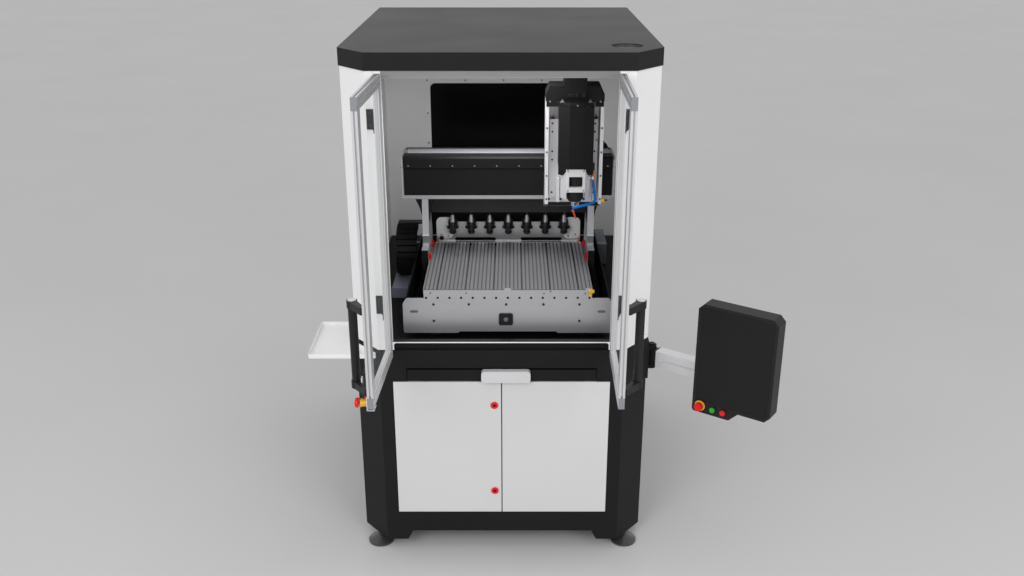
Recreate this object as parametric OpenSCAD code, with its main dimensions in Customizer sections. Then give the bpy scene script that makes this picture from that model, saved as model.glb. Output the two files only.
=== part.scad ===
// Enclosed gantry machining centre: a glazed hood over a floor cabinet, with a moving-gantry router inside.
// Millimetres, +Z up. The origin is on the floor, midway between the four levelling feet; -Y is the front.

/* [Cabinet] */
// Overall width of the roof
cab_w = 1100; // [1000:10:1300]
// Overall depth of the roof
cab_d = 1320; // [1280:10:1500]
// Height of the roof above the floor
cab_h = 1928; // [1880:4:2100]
// Height of the chamber floor above the workshop floor
base_h = 862; // [840:2:900]
// Width of the cut-off front corners
corner_x = 100; // [80:2:120]
// Depth of the cut-off front corners
corner_y = 116; // [90:2:130]
// Height of the roof skirt
roof_h = 60; // [40:2:80]
// Sheet thickness of the roof
roof_t = 3; // [2:0.5:3.5]
// How far the walls stand inside the roof edge
shell_inset = 4; // [4:0.5:8]
// Sheet thickness of hood, base and deck
sheet = 4; // [2:0.5:6]
// Depth of the front frame members
frame_d = 40; // [30:2:60]
// Width of the stiles beside the lower doors
stile_w = 48.7; // [40:0.1:60]
// Diameter of the cable port in the roof
port_d = 108; // [60:2:110]

/* [Levelling feet] */
// Gap between the floor and the legs
foot_h = 45; // [40:1:60]
// Diameter of the foot pads
pad_d = 100; // [60:2:110]
// Diameter of the foot studs
stud_d = 16; // [12:1:20]
// Distance of the feet from the side of the roof
foot_side = 68; // [60:1:80]
// Distance of the feet from the front and back of the roof
foot_end = 64; // [64:1:80]
// Height of the arch between the legs
arch_h = 39; // [20:1:60]
// Width of a leg on the front face
leg_w = 80; // [60:2:120]

/* [Lower doors and drawer] */
// Lower edge of the doors above the floor
low_door_z = 171; // [150:1:200]
// Height of the band between the drawer and the chamber floor
band_h = 71.5; // [60:0.5:90]
// Thickness of the lower doors
low_door_t = 20; // [16:1:24]
// Gap round the lower doors
low_door_gap = 2.5; // [2:0.5:4]
// Distance of the lower door pivots from the door edge
pivot_in = 24; // [20:1:34]
// Diameter of the pivot pins
pivot_d = 8; // [6:1:12]
// Running clearance on the diameter of pins and shafts
run_clear = 0.1; // [0.04:0.02:0.2]
// Distance of the locks from the meeting edge
lock_in = 25; // [22:1:40]
// Distance of the locks from the ends of the door
lock_end = 96; // [60:1:150]
// Outer diameter of a lock bezel
lock_d = 28; // [24:1:32]
// Half width of the drawer front
drawer_half = 347; // [300:1:360]
// Height of the drawer front
drawer_h = 52; // [48:1:56]
// Length of the drawer box
drawer_len = 400; // [250:10:500]
// Gap round the drawer front
drawer_gap = 2; // [1:0.5:3]
// Width of the drawer handle
pull_w = 180; // [120:2:240]
// Height of the drawer handle
pull_h = 45; // [36:1:48]
// Sideways offset of the drawer handle
pull_x = 16; // [-60:1:60]

/* [Hood] */
// Half width of the front opening
open_half = 395; // [360:1:398]
// Height of the sill above the chamber floor
sill_h = 31; // [28:1:40]
// Height of the lintel below the roof skirt
lintel_h = 23; // [16:1:60]
// Half width of the rear window
win_half = 336; // [250:2:400]
// Distance of the rear window below the roof skirt
win_drop = 274; // [200:2:400]
// Lower edge of the rear window above the chamber floor
win_z = 178; // [100:2:200]

/* [Front doors] */
// Thickness of the door profile
prof_t = 20; // [16:1:24]
// Face width of the door profile
prof_w = 40; // [30:1:50]
// Thickness of the door pane
pane_t = 5; // [3:0.5:6]
// Gap between the closed doors
meet_gap = 10; // [6:1:16]
// Door edge to the end of the front face
door_edge = 40; // [30:1:46]
// Opening of the left door in the photograph's pose
left_open = 92.7; // [60:0.1:100]
// Opening of the right door in the photograph's pose
right_open = 89; // [60:0.1:100]
// Height of a door hinge
hinge_h = 68; // [50:1:90]
// Diameter of the handle tubes
grip_d = 29; // [20:1:32]
// Length of the handles
grip_h = 308; // [200:2:400]
// Stand-off of the handle tubes from the door
grip_off = 45; // [36:1:60]

/* [Control panel] */
// Angle of the arm to the front
arm_turn = 35; // [20:1:50]
// Length of the arm between its pivots
arm_len = 368; // [280:1:400]
// Height of the arm section
arm_h = 65; // [50:1:80]
// Thickness of the arm section
arm_t = 45; // [40:1:60]
// Drop of the arm's underside below the chamber floor
arm_drop = 127; // [90:1:160]
// Width of the panel
panel_w = 296; // [240:2:340]
// Height of the panel
panel_h = 390; // [330:2:420]
// Thickness of the panel
panel_t = 63; // [50:1:70]
// Drop of the panel's lower edge below the chamber floor
panel_drop = 188; // [160:1:220]
// Drop of the button tab
tab_h = 34; // [30:1:44]

/* [Tray] */
// Width of the side tray beyond the hood
tray_w = 155; // [120:1:200]
// Length of the side tray
tray_len = 300; // [240:5:400]
// Height of the tray rim
tray_rim = 17; // [10:1:30]

/* [Bed] */
// Sideways offset of the router in the chamber
bed_x = 23; // [0:1:40]
// Distance of the bed from the front of the roof
bed_y = 100; // [90:1:140]
// Height of the bed feet
bed_foot = 33; // [20:1:50]
// Height of the bed beams
bed_h = 147; // [120:1:160]
// Length of the bed walls
bed_len = 900; // [860:10:1000]
// Half width over the bed walls
bed_half = 375; // [366:1:380]
// Half width of the front plate
plate_half = 386; // [380:1:395]
// Width of the table
table_w = 620; // [600:2:622]
// Length of the table
table_len = 525; // [400:5:540]
// Thickness of the table planks
table_t = 20; // [16:1:26]
// Number of table planks
planks = 6; // [4:1:8]
// Width of a T-slot mouth
slot_w = 6.5; // [6:0.5:10]
// Width of a guide rail
rail_w = 15; // [12:1:20]

/* [Tool rack] */
// Number of tool holders
tools = 7; // [3:1:7]
// Distance between tool holders
tool_pitch = 76.7; // [60:0.1:78]
// Diameter of the holder flanges
flange_d = 41; // [32:1:46]
// Distance of the holders behind the table
tool_back = 43; // [40:1:50]

/* [Gantry] */
// Height of the beam above the table
beam_clear = 247; // [240:1:280]
// Height of the beam
beam_h = 162; // [130:1:170]
// Depth of the beam
beam_d = 144; // [120:1:160]
// Half length of the beam
beam_half = 408; // [400:1:430]
// Distance of the beam's face behind the bed front
beam_y = 336; // [300:1:380]
// Distance of the uprights' inner faces from the centre
upright_x = 312.5; // [312.5:0.5:320]
// Thickness of the uprights
upright_t = 25; // [15:1:25]

/* [Head] */
// Offset of the head from the centre of the bed
head_x = 245; // [0:1:280]
// Width of the head
head_w = 213; // [200:1:230]
// Height of the head's side plates
head_h = 390; // [370:2:400]
// Diameter of the spindle
spindle_d = 62; // [50:1:66]
// Diameter of the spindle shaft
shaft_d = 20; // [16:1:24]
// Diameter of the coolant hose
hose_d = 9; // [6:0.5:10]

/* [Hidden] */
$fn = 48;

charcoal = "#262626";
white = "#dedede";
silver = "#c8c8cd";
table_grey = "#85858a";
glass = "#cfe0e4";
red = "#e02830";
yellow = "#e1af0a";

big = 4000;
eps = 0.01;
slide_gap = 0.4;
plank_gap = 0.3;
front = -cab_d / 2;
face_y = front + shell_inset;
back_y = cab_d / 2 - shell_inset;
skirt_z = cab_h - roof_h;
roof_under = cab_h - roof_t;
win_top = skirt_z - win_drop;
deck_z = base_h - sheet;
win_h = win_top - base_h - win_z;
win_mid = win_top - win_h / 2;
win_r = 25;
port_side = 121;
port_in = 150;
port_sink = 9;
win_lap = 16;
plinth_z = foot_h + arch_h;
sill_band = 4;
sill_end = 5;
sill_r = 10;
front_half = cab_w / 2 - shell_inset - corner_x * corner_scale(shell_inset);

// Lower doors and drawer
low_half = front_half - stile_w;
drawer_z = deck_z - band_h - drawer_h;
low_top = drawer_z - drawer_gap - 1;
low_seam = 2;
skin = 2;
pivot_x = low_half - pivot_in;
pivot_y = face_y + low_door_t / 2;
low_swing = norm([pivot_in, low_door_t / 2]);
cross_rail_y = pivot_y + low_swing + low_door_gap;
cross_rail_h = 18;
cross_rail_t = 10;
pivot_grip = 12;
lug = pivot_d + 10;
lock_x = -low_seam - lock_in;
lock_zs = [low_door_z + lock_end, low_top - lock_end];
barrel_d = lock_d - 8;
insert_d = 11.8;
drawer_recess = 3;
drawer_front_t = 6;
drawer_box_half = drawer_half - 12;
drawer_box_z = drawer_z + 8;
runner_t = 4;
drive_w = 70;
drive_d = 150;
drive_h = 230;
drive_z = 345;
drive_pitch = 110;

// Front doors: each leaf is drawn closed about its own hinge axis, then swung open
door_z0 = base_h - 9;
door_z1 = skirt_z - 3;
cap_t = 3;
hinge_off = 5;
door_edge_x = cab_w / 2 - corner_x - door_edge;
hinge_x = door_edge_x + hinge_off;
hinge_y = front - prof_t - hinge_off;
leaf_w = door_edge_x - meet_gap / 2;
pane_grip = 6;
groove_w = 5.2;
knuckle_d = 9;
hinge_pin_d = 5;
hinge_zs = [door_z0 + 187, door_z1 - 157];
grip_z = door_z0 + 46;
grip_x = hinge_off + leaf_w - prof_w / 2;
grip_lean = 50;
grip_arm = 25;
call_z = grip_z + 52;
lamp_z = door_z0 + 34.5;
stop_z = door_z0 + 14;

// Tray, arm and panel
tray_z = deck_z - 29;
arm_z = base_h - arm_drop;
panel_z = base_h - panel_drop;
arm_out = 19;
arm_back = 159;
arm_pivot = [cab_w / 2 + arm_out, front + arm_back];
arm_pin_d = 14;
arm_eye_d = 28;
arm_lug_d = 36;
arm_root = 26;
panel_gap = 3;
panel_x = arm_len - panel_w / 2;
panel_y = -arm_t / 2 - panel_gap - panel_t;
screen_in = 3;

// Router
bed_front = front + bed_y;
bed_z = base_h + bed_foot;
beam_top_z = bed_z + bed_h;
table_z = beam_top_z + table_t;
girder_half = 285;
plate_slot_x = 345;
girder_w = 30;
wall_h = 135;
plate_drop = 7;
hole_pitch = (table_w - 22) / 14;
side_box_w = 56;
side_box_h = 98;
plank_w = table_w / planks;
groove_pitch = plank_w / 7;
rail_z = bed_z + 65;
rail_out = 12;
rear_y = bed_front + table_len + 127;
tool_y = bed_front + table_len + tool_back;
rack_y = tool_y + 22;
flange_z = table_z + 48;
upright_foot = bed_z + 35;
beam_z = table_z + beam_clear;
beam_front = bed_front + beam_y;
upright_fore = 36;
upright_d = 240;
ledge_h = 45;
top_rail_in = 64;
low_rail_in = 16;
cover_lap = 11;
low_rail_h = 10;
brace_h = 119;
brace_out = 40;
chain_w = 84;
chain_r = 107;
chain_t = 30;
chain_x = bed_x - bed_half - 3 - chain_w;
chain_back = 254;
chain_y = beam_front + chain_back;
chain_up = 43;
chain_z = base_h + chain_up;
chain_low = 300;
chain_high = 42;
tray_fore = 182;
tray_aft = 100;

// Head
head_c = bed_x + head_x;
saddle_y = beam_front - 28;
saddle_t = 16;
side_t = 12;
head_z = beam_z + 6;
head_top = head_z + head_h;
slide_y = saddle_y - 30;
slide_t = 14;
z_rail_x = 52;
z_block_h = 50;
saddle_drop = 24;
spindle_y = saddle_y - 83;
nose_z = beam_z + 31;
z_block_zs = [nose_z + 5, nose_z + 57];
clamp_h = 121;
clamp_half = 54;
clamp_lip = 34;
cover_half = 64;
cover_nose = 27;
spindle_x = 6;
cover_z = nose_z + clamp_h + 2;
cover_top = head_top - 15;

// The scale of a cut-off corner on an outline that lies t inside the roof edge
function corner_scale(t) =
    1 + t * (sqrt(1 / pow(corner_x, 2) + 1 / pow(corner_y, 2)) - 1 / corner_x - 1 / corner_y);

// The corners of a polygon rounded to radius r, each with n chords
function round_corners(pts, r, n = 6) = [
    for (i = [0 : len(pts) - 1])
        let (p = pts[i], q = pts[(i + len(pts) - 1) % len(pts)], a = unit(q - p))
        let (b = unit(pts[(i + 1) % len(pts)] - p))
        let (half = acos(a * b) / 2, c = p + unit(a + b) * r / sin(half))
        let (s = p + a * r / tan(half) - c, e = p + b * r / tan(half) - c)
        for (k = [0 : n])
            c + r * unit(s * sin((1 - k / n) * (180 - 2 * half)) + e * sin(k / n * (180 - 2 * half)))
];
function unit(v) = v / norm(v);
function bezier(p, t) =
    pow(1 - t, 3) * p[0] + 3 * t * pow(1 - t, 2) * p[1] + 3 * t * t * (1 - t) * p[2] + pow(t, 3) * p[3];

// The floor plan of roof, hood and base, t inside the roof edge
module plan(t) {
    w = cab_w / 2 - t;
    d = cab_d / 2 - t;
    cx = corner_x * corner_scale(t);
    cy = corner_y * corner_scale(t);
    polygon([[-w + cx, -d], [w - cx, -d], [w, -d + cy], [w, d], [-w, d], [-w, -d + cy]]);
}

module slab(t, z0, z1) {
    translate([0, 0, z0]) linear_extrude(z1 - z0) plan(t);
}

module box(x, y, z) {
    translate([x[0], y[0], z[0]]) cube([x[1] - x[0], y[1] - y[0], z[1] - z[0]]);
}

// A profile drawn in x and z, run from y[0] to y[1]
module run_y(y) {
    translate([0, y[1], 0]) rotate([90, 0, 0]) linear_extrude(y[1] - y[0]) children();
}

// A profile drawn in y and z, run from x[0] to x[1]
module run_x(x) {
    translate([x[0], 0, 0]) rotate([90, 0, 90]) linear_extrude(x[1] - x[0]) children();
}

module rod_z(d, p, z) {
    translate([p[0], p[1], z[0]]) cylinder(d = d, h = z[1] - z[0]);
}

module rod_y(d, p, y) {
    translate([p[0], y[1], p[1]]) rotate([90, 0, 0]) cylinder(d = d, h = y[1] - y[0]);
}

module rounded_rect(w, h, r) {
    square([w - 2 * r, h], center = true);
    square([w, h - 2 * r], center = true);
    for (x = [-1, 1], y = [-1, 1])
        translate([x * (w / 2 - r), y * (h / 2 - r)]) circle(r);
}

module both_sides() {
    children();
    mirror([1, 0, 0]) children();
}

// Places a leaf, drawn closed about its hinge axis, at its open pose
module left_leaf() {
    translate([-hinge_x, hinge_y, 0]) rotate([0, 0, -left_open]) children();
}

module right_leaf() {
    translate([hinge_x, hinge_y, 0]) rotate([0, 0, right_open]) mirror([1, 0, 0]) children();
}

// Base cabinet

module leg_arches() {
    half = front_half - leg_w;
    run_y([-big, big])
        polygon([[-half, foot_h - 1], [half, foot_h - 1], [half - 20, plinth_z], [20 - half, plinth_z]]);
    run_x([-big, big])
        polygon([[front + 230, foot_h - 1], [back_y - 130, foot_h - 1], [back_y - 150, plinth_z],
            [front + 250, plinth_z]]);
}

module leg_plates() {
    for (x = [-1, 1], y = [-1, 1])
        intersection() {
            slab(shell_inset, foot_h, foot_h + 6);
            translate([x * (cab_w / 2 - foot_side), y * (cab_d / 2 - foot_end), foot_h])
                cube([150, 150, 20], center = true);
        }
}

module foot_places() {
    for (x = [-1, 1], y = [-1, 1])
        translate([x * (cab_w / 2 - foot_side), y * (cab_d / 2 - foot_end), 0]) children();
}

module pivot_pins() {
    both_sides() {
        rod_z(pivot_d, [pivot_x, pivot_y], [low_top - pivot_grip, low_top + low_door_gap + 6]);
        rod_z(pivot_d, [pivot_x, pivot_y], [low_door_z - low_door_gap - 6, low_door_z + pivot_grip]);
    }
}

module base_cabinet() color(charcoal) difference() {
    union() {
        difference() {
            union() {
                difference() {
                    slab(shell_inset, foot_h, deck_z);
                    slab(shell_inset + sheet, plinth_z + sheet, big);
                    slab(shell_inset + sheet, foot_h - 1, plinth_z);
                    leg_arches();
                }
                leg_plates();
                box([-front_half + 4, front_half - 4], [face_y, face_y + frame_d], [plinth_z, deck_z]);
            }
            box([-low_half - low_door_gap, low_half + low_door_gap], [face_y - 1, face_y + frame_d + 1],
                [low_door_z - low_door_gap, low_top + low_door_gap]);
            box([-drawer_half - drawer_gap, drawer_half + drawer_gap], [face_y - 1, face_y + frame_d + 1],
                [low_top, drawer_z + drawer_h + drawer_gap]);
        }
        box([-front_half + sheet, front_half - sheet], [cross_rail_y, cross_rail_y + cross_rail_t],
            [low_top - cross_rail_h, low_top + 1]);
        pivot_pins();
    }
    foot_places() rod_z(stud_d + 4 * run_clear, [0, 0], [foot_h - 1, foot_h + 7]);
}

module deck_plate() color(charcoal) {
    slab(shell_inset, deck_z, base_h);
    run_y([face_y + 6, face_y + 9]) difference() {
        sill_outline(slide_gap);
        translate([-big / 2, deck_z - big]) square(big);
    }
}

// The cut-out of the hood's sill, t inside its edge
module sill_outline(t) {
    h = 2 * sill_h;
    translate([0, base_h + sill_h - sill_band - h / 2])
        rounded_rect(2 * (open_half - sill_end - t), h - 2 * t, sill_r - t);
}

module levelling_feet() color("#b8babd") foot_places() {
    rotate_extrude()
        polygon([[0, 0], [pad_d / 2 - 2, 0], [pad_d / 2, 2], [pad_d / 2, 8], [pad_d / 2 - 14, 15],
            [18, 24], [stud_d / 2, 30], [stud_d / 2, plinth_z - 6], [0, plinth_z - 6]]);
    translate([0, 0, foot_h - 12]) cylinder(d = stud_d * 1.7, h = 12, $fn = 6);
}

// A lower door as a folded pan, hinged at its outer edge: x runs from the meeting edge outwards
module low_door_pan(holes) {
    difference() {
        union() {
            difference() {
                box([low_seam, low_half], [face_y, face_y + low_door_t], [low_door_z, low_top]);
                box([low_seam + skin, low_half - skin], [face_y + skin, face_y + big],
                    [low_door_z + skin, low_top - skin]);
            }
            for (z = [low_door_z, low_top - lug])
                box([pivot_x - lug / 2, pivot_x + lug / 2], [face_y, face_y + low_door_t], [z, z + lug]);
        }
        rod_z(pivot_d + run_clear, [pivot_x, pivot_y], [low_door_z - 1, low_door_z + pivot_grip + 1]);
        rod_z(pivot_d + run_clear, [pivot_x, pivot_y], [low_top - pivot_grip - 1, low_top + 1]);
        for (z = holes)
            rod_y(barrel_d + run_clear, [low_seam + lock_in, z], [face_y - 1, face_y + skin + 1]);
    }
}

module cabinet_door_left() color(white) mirror([1, 0, 0]) low_door_pan(lock_zs);

module cabinet_door_right() color(white) low_door_pan([]);

module lock_bezels() color(red) for (z = lock_zs)
    difference() {
        union() {
            rod_y(lock_d, [lock_x, z], [face_y - 4, face_y]);
            rod_y(barrel_d, [lock_x, z], [face_y - 1, face_y + low_door_t + 2]);
        }
        rod_y(insert_d + run_clear, [lock_x, z], [face_y - big, face_y + big]);
    }

// The turning core of a lock, with its cam upright and clear of the other door
module lock_insert(z) {
    cam_y = face_y + low_door_t + 3;
    difference() {
        rod_y(insert_d, [lock_x, z], [face_y - 3.5, cam_y]);
        box([lock_x - 1.2, lock_x + 1.2], [face_y - 5, face_y - 1.5], [z - 4, z + 4]);
    }
    run_y([cam_y, cam_y + 3]) translate([lock_x, z + 14]) rounded_rect(16, 44, 7);
}

module lock_insert_upper() color("#1c1c1c") lock_insert(lock_zs[1]);

module lock_insert_lower() color("#1c1c1c") lock_insert(lock_zs[0]);

module drawer() color(charcoal) {
    y0 = face_y + drawer_recess;
    box([-drawer_half, drawer_half], [y0, y0 + drawer_front_t], [drawer_z, drawer_z + drawer_h]);
    difference() {
        box([-drawer_box_half, drawer_box_half], [y0 + drawer_front_t, y0 + drawer_front_t + drawer_len],
            [drawer_box_z, drawer_z + drawer_h - 6]);
        box([skin - drawer_box_half, drawer_box_half - skin],
            [y0 + drawer_front_t + skin, y0 + drawer_front_t + drawer_len - skin],
            [drawer_box_z + skin, big]);
    }
}

// A cup pull, open from below
module drawer_handle() color("#e4e4e6") {
    y1 = face_y + drawer_recess;
    zc = drawer_z + drawer_h / 2;
    difference() {
        run_y([y1 - 25, y1]) translate([pull_x, zc]) rounded_rect(pull_w, pull_h, 12);
        box([pull_x - pull_w / 2 + 14, pull_x + pull_w / 2 - 14], [y1 - 21, y1 + 1],
            [zc - big, zc + pull_h / 2 - 6]);
    }
}

module drawer_runners() color(silver) both_sides() {
    y0 = face_y + frame_d;
    y1 = face_y + drawer_recess + drawer_front_t + drawer_len + 20;
    x0 = drawer_box_half + slide_gap;
    x1 = drawer_half + drawer_gap + 6;
    box([x0 - 12, x1], [y0, y1], [drawer_box_z - slide_gap - runner_t, drawer_box_z - slide_gap]);
    box([x1 - runner_t, x1], [y0, y1], [drawer_box_z - slide_gap - runner_t, drawer_z + drawer_h - 10]);
    box([x1 - runner_t, x1], [y1 - 60, y1], [drawer_box_z, deck_z]);
}

module axis_drives() color("#5c6066") for (i = [0 : 4])
    box([(i - 2) * drive_pitch - drive_w / 2, (i - 2) * drive_pitch + drive_w / 2],
        [back_y - sheet - drive_d, back_y - sheet], [drive_z, drive_z + drive_h]);

// Hood

module hood_shell() color(white) {
    difference() {
        union() {
            difference() {
                slab(shell_inset, base_h, roof_under);
                slab(shell_inset + sheet, base_h - 1, roof_under + 1);
            }
            box([-front_half + 2, front_half - 2], [face_y, face_y + 25], [base_h, skirt_z + 20]);
        }
        box([-open_half, open_half], [front - 1, face_y + 26], [base_h + sill_h, skirt_z - lintel_h]);
        run_y([front - 1, face_y + 26]) intersection() {
            sill_outline(0);
            translate([-open_half, base_h - 1]) square([2 * open_half, sill_h]);
        }
        run_y([back_y - sheet - 1, back_y + 1])
            translate([0, win_mid]) rounded_rect(2 * win_half, win_h, win_r);
        both_sides()
            box([hinge_x + 3, hinge_x + 4.5], [face_y - 1, face_y + 1.5], [base_h - 1, skirt_z]);
    }
}

module port_place() {
    translate([cab_w / 2 - port_side, front + port_in, 0]) children();
}

module roof_cap() color(charcoal) difference() {
    slab(0, skirt_z, cab_h);
    slab(roof_t, skirt_z - 1, roof_under);
    port_place() rod_z(port_d, [0, 0], [skirt_z, cab_h + 1]);
}

// A shallow cup under the cable port, with a latch at its back
module roof_port_cover() color("#2e2e2e") port_place() {
    floor_z = cab_h - port_sink;
    difference() {
        rod_z(port_d + 10, [0, 0], [floor_z - 4, roof_under]);
        rod_z(port_d, [0, 0], [floor_z, cab_h]);
    }
    box([-2, 2], [port_d / 2 - 16, port_d / 2 - 4], [floor_z - 1, floor_z + 5]);
}

module rear_window() color("#141416") run_y([back_y, back_y + 4])
    translate([0, win_mid]) rounded_rect(2 * (win_half + win_lap), win_h + 2 * win_lap, win_r + 5);

// Front doors

// Section of the door profile, its length of face along x from 0 to prof_w, grooves on every side
module profile_section() {
    mid = prof_t / 2;
    difference() {
        translate([0, hinge_off]) square([prof_w, prof_t]);
        for (x = [prof_w / 4, prof_w * 3 / 4], y = [0, prof_t - 4.5])
            translate([x - groove_w / 2, hinge_off + y]) square([groove_w, 4.5]);
        for (x = [0, prof_w - pane_grip - 1])
            translate([x, hinge_off + mid - groove_w / 2]) square([pane_grip + 1, groove_w]);
    }
}

// Rails run the full width, less their end caps, and the stiles stand between them
module door_frame() {
    for (z = [door_z0, door_z1 - prof_w])
        translate([hinge_off + cap_t, 0, z + prof_w]) rotate([0, 90, 0])
            linear_extrude(leaf_w - 2 * cap_t) profile_section();
    for (x = [hinge_off, hinge_off + leaf_w - prof_w])
        translate([x, 0, door_z0 + prof_w]) linear_extrude(door_z1 - door_z0 - 2 * prof_w) profile_section();
}

module door_glass() {
    mid = hinge_off + prof_t / 2;
    z0 = door_z0 + prof_w - pane_grip;
    z1 = door_z1 - prof_w + pane_grip;
    box([hinge_off + prof_w - pane_grip, hinge_off + leaf_w - prof_w + pane_grip],
        [mid - pane_t / 2, mid + pane_t / 2], [z0, z1]);
}

module door_frame_left() color(silver) left_leaf() door_frame();

module door_frame_right() color(silver) right_leaf() door_frame();

module door_glass_left() color(glass, 0.3) left_leaf() door_glass();

module door_glass_right() color(glass, 0.3) right_leaf() door_glass();

// The fixed halves of the hinges, each with its pin
module hinge_leaves_hood() color(charcoal) both_sides() for (zc = hinge_zs) {
    third = hinge_h / 6;
    plate_y = face_y - hinge_off;
    box([hinge_x + 6, front_half - 2], [plate_y, face_y], [zc - hinge_h / 2, zc + hinge_h / 2]);
    rod_z(hinge_pin_d, [hinge_x, hinge_y], [zc - hinge_h / 2, zc + hinge_h / 2]);
    for (z = [[zc - hinge_h / 2, zc - third - slide_gap], [zc + third + slide_gap, zc + hinge_h / 2]]) {
        rod_z(knuckle_d, [hinge_x, hinge_y], z);
        box([hinge_x, hinge_x + 6], [hinge_y - knuckle_d / 2, face_y], z);
        box([hinge_x + 6 - eps, hinge_x + 10], [hinge_y + 12, face_y], z);
    }
}

// The moving halves of the hinges, drawn on a closed leaf
module hinge_leaves() for (zc = hinge_zs) {
    third = hinge_h / 6;
    difference() {
        union() {
            box([hinge_off + 1, 34], [0, hinge_off], [zc - hinge_h / 2, zc + hinge_h / 2]);
            rod_z(knuckle_d, [0, 0], [zc - third, zc + third]);
            box([0, hinge_off + 2], [0, knuckle_d / 2], [zc - third, zc + third]);
        }
        rod_z(hinge_pin_d + run_clear, [0, 0], [zc - hinge_h, zc + hinge_h]);
    }
}

module hinge_leaves_left() color(charcoal) left_leaf() hinge_leaves();

module hinge_leaves_right() color(charcoal) right_leaf() hinge_leaves();

// A tube handle on two slanted arms, whose feet stand on the free stile of a leaf
module door_handle() {
    tube_x = grip_x - grip_lean;
    tube_y = hinge_off - grip_off;
    for (z = [grip_z, grip_z + grip_h - grip_arm])
        difference() {
            union() {
                translate([0, 0, z]) linear_extrude(grip_arm)
                    polygon([[grip_x - 16, hinge_off], [grip_x + 16, hinge_off], [grip_x + 16, hinge_off - 7],
                        [tube_x + 8, tube_y - 12], [tube_x - 8, tube_y + 8], [grip_x - 16, hinge_off - 9]]);
                rod_z(grip_d + 6, [tube_x, tube_y], [z, z + grip_arm]);
            }
            rod_z(grip_d + run_clear, [tube_x, tube_y], [z - 1, z + grip_arm + 1]);
        }
    rod_z(grip_d, [tube_x, tube_y], [grip_z, grip_z + grip_h]);
}

// The left handle carries the housing of the station's button
module handle_left() color("#222222") left_leaf() {
    door_handle();
    difference() {
        run_y([hinge_off - 8, hinge_off]) translate([grip_x + 1, call_z + 10]) rounded_rect(38, 58, 8);
        rod_y(10 + run_clear, [grip_x, call_z], [-big, big]);
    }
}

module handle_right() color("#222222") right_leaf() door_handle();

// Operator station at the foot of the left leaf's free stile

module station_plate() color(silver) left_leaf() {
    x1 = hinge_off + leaf_w;
    box([x1 - prof_w + 2, x1], [hinge_off - 3, hinge_off], [door_z0 - 6, grip_z - 2]);
    box([x1 - prof_w + 2, x1], [hinge_off - 3, hinge_off + prof_t + 2], [door_z0 - 6, door_z0 - 3]);
}

module station_button() color("#f2f2f2") left_leaf() {
    rod_y(22, [grip_x, call_z], [hinge_off - 18, hinge_off - 13]);
    rod_y(10, [grip_x, call_z], [hinge_off - 14, hinge_off - 5]);
}

module station_lamp() color(red) left_leaf()
    rod_y(9, [grip_x, lamp_z], [hinge_off - 13, hinge_off - 3]);

module station_estop_base() color(yellow) left_leaf() difference() {
    translate([grip_x, hinge_off - 3, stop_z]) rotate([90, 0, 0])
        rotate_extrude()
            polygon([[0, 0], [13, 0], [12, 12], [15, 22], [0, 22]]);
    rod_y(10 + run_clear, [grip_x, stop_z], [-big, hinge_off - 8]);
}

module station_estop_head() color(red) left_leaf() {
    translate([grip_x, hinge_off - 33, stop_z]) rotate([90, 0, 0])
        rotate_extrude()
            polygon([[0, -2], [14, -2], [17, 2], [17, 6], [15, 9], [8, 12], [0, 12.5]]);
    rod_y(10, [grip_x, stop_z], [hinge_off - 34, hinge_off - 16]);
}

// Side tray

function tray_outline(t) =
    let (x0 = -cab_w / 2 - tray_w + t, x1 = -cab_w / 2 - 2 - t)
    [[x0, front + t], [-cab_w / 2 + corner_x + 3 - 1.8 * t, front + t], [x1, front + corner_y + 2],
        [x1, front + tray_len - t], [x0, front + tray_len - t]];

module tray() color(white) difference() {
    translate([0, 0, tray_z]) linear_extrude(tray_rim) polygon(round_corners(tray_outline(0), 9));
    translate([0, 0, tray_z + 2]) linear_extrude(big) polygon(round_corners(tray_outline(2), 7));
}

module tray_bracket() color("#8b8e92") {
    x1 = -cab_w / 2 + shell_inset;
    z1 = tray_z;
    for (y = [front + corner_y + 40, front + tray_len - 60])
        run_y([y, y + 5]) polygon([[x1, z1], [x1 - 110, z1], [x1 - 110, z1 - 12], [x1, z1 - 80]]);
    box([x1 - 4, x1], [front + corner_y + 30, front + tray_len - 40], [z1 - 90, z1]);
}

// Control panel on its arm

module arm_frame() {
    translate([arm_pivot[0], arm_pivot[1], 0]) rotate([0, 0, -arm_turn]) children();
}

module arm_bracket() color(charcoal) {
    x0 = cab_w / 2 - shell_inset;
    lug_t = 14;
    lug_r = arm_lug_d / 2;
    box([x0, x0 + 8], [arm_pivot[1] - 40, arm_pivot[1] + 40], [arm_z - 45, arm_z + arm_h + 40]);
    for (z = [arm_z - slide_gap - lug_t, arm_z + arm_h + slide_gap]) {
        box([x0 + 7, arm_pivot[0]], [arm_pivot[1] - lug_r, arm_pivot[1] + lug_r], [z, z + lug_t]);
        rod_z(arm_lug_d, arm_pivot, [z, z + lug_t]);
    }
    rod_z(arm_pin_d, arm_pivot, [arm_z - lug_t, arm_z + arm_h + lug_t]);
}

module arm() color(silver) arm_frame() difference() {
    union() {
        box([arm_root, arm_len], [-arm_t / 2, arm_t / 2], [arm_z, arm_z + arm_h]);
        box([0, arm_root + 1], [-arm_eye_d / 2, arm_eye_d / 2], [arm_z, arm_z + arm_h]);
        rod_z(arm_eye_d, [0, 0], [arm_z, arm_z + arm_h]);
        rod_z(arm_t, [arm_len, 0], [arm_z, arm_z + arm_h]);
    }
    for (x = [0, arm_len])
        rod_z(arm_pin_d + run_clear, [x, 0], [arm_z - 1, arm_z + arm_h + 1]);
    for (y = [-arm_t / 2 - 1, arm_t / 2 - 6])
        box([arm_t, arm_len - arm_t], [y, y + 7], [arm_z + arm_h / 2 - 4, arm_z + arm_h / 2 + 4]);
}

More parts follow.
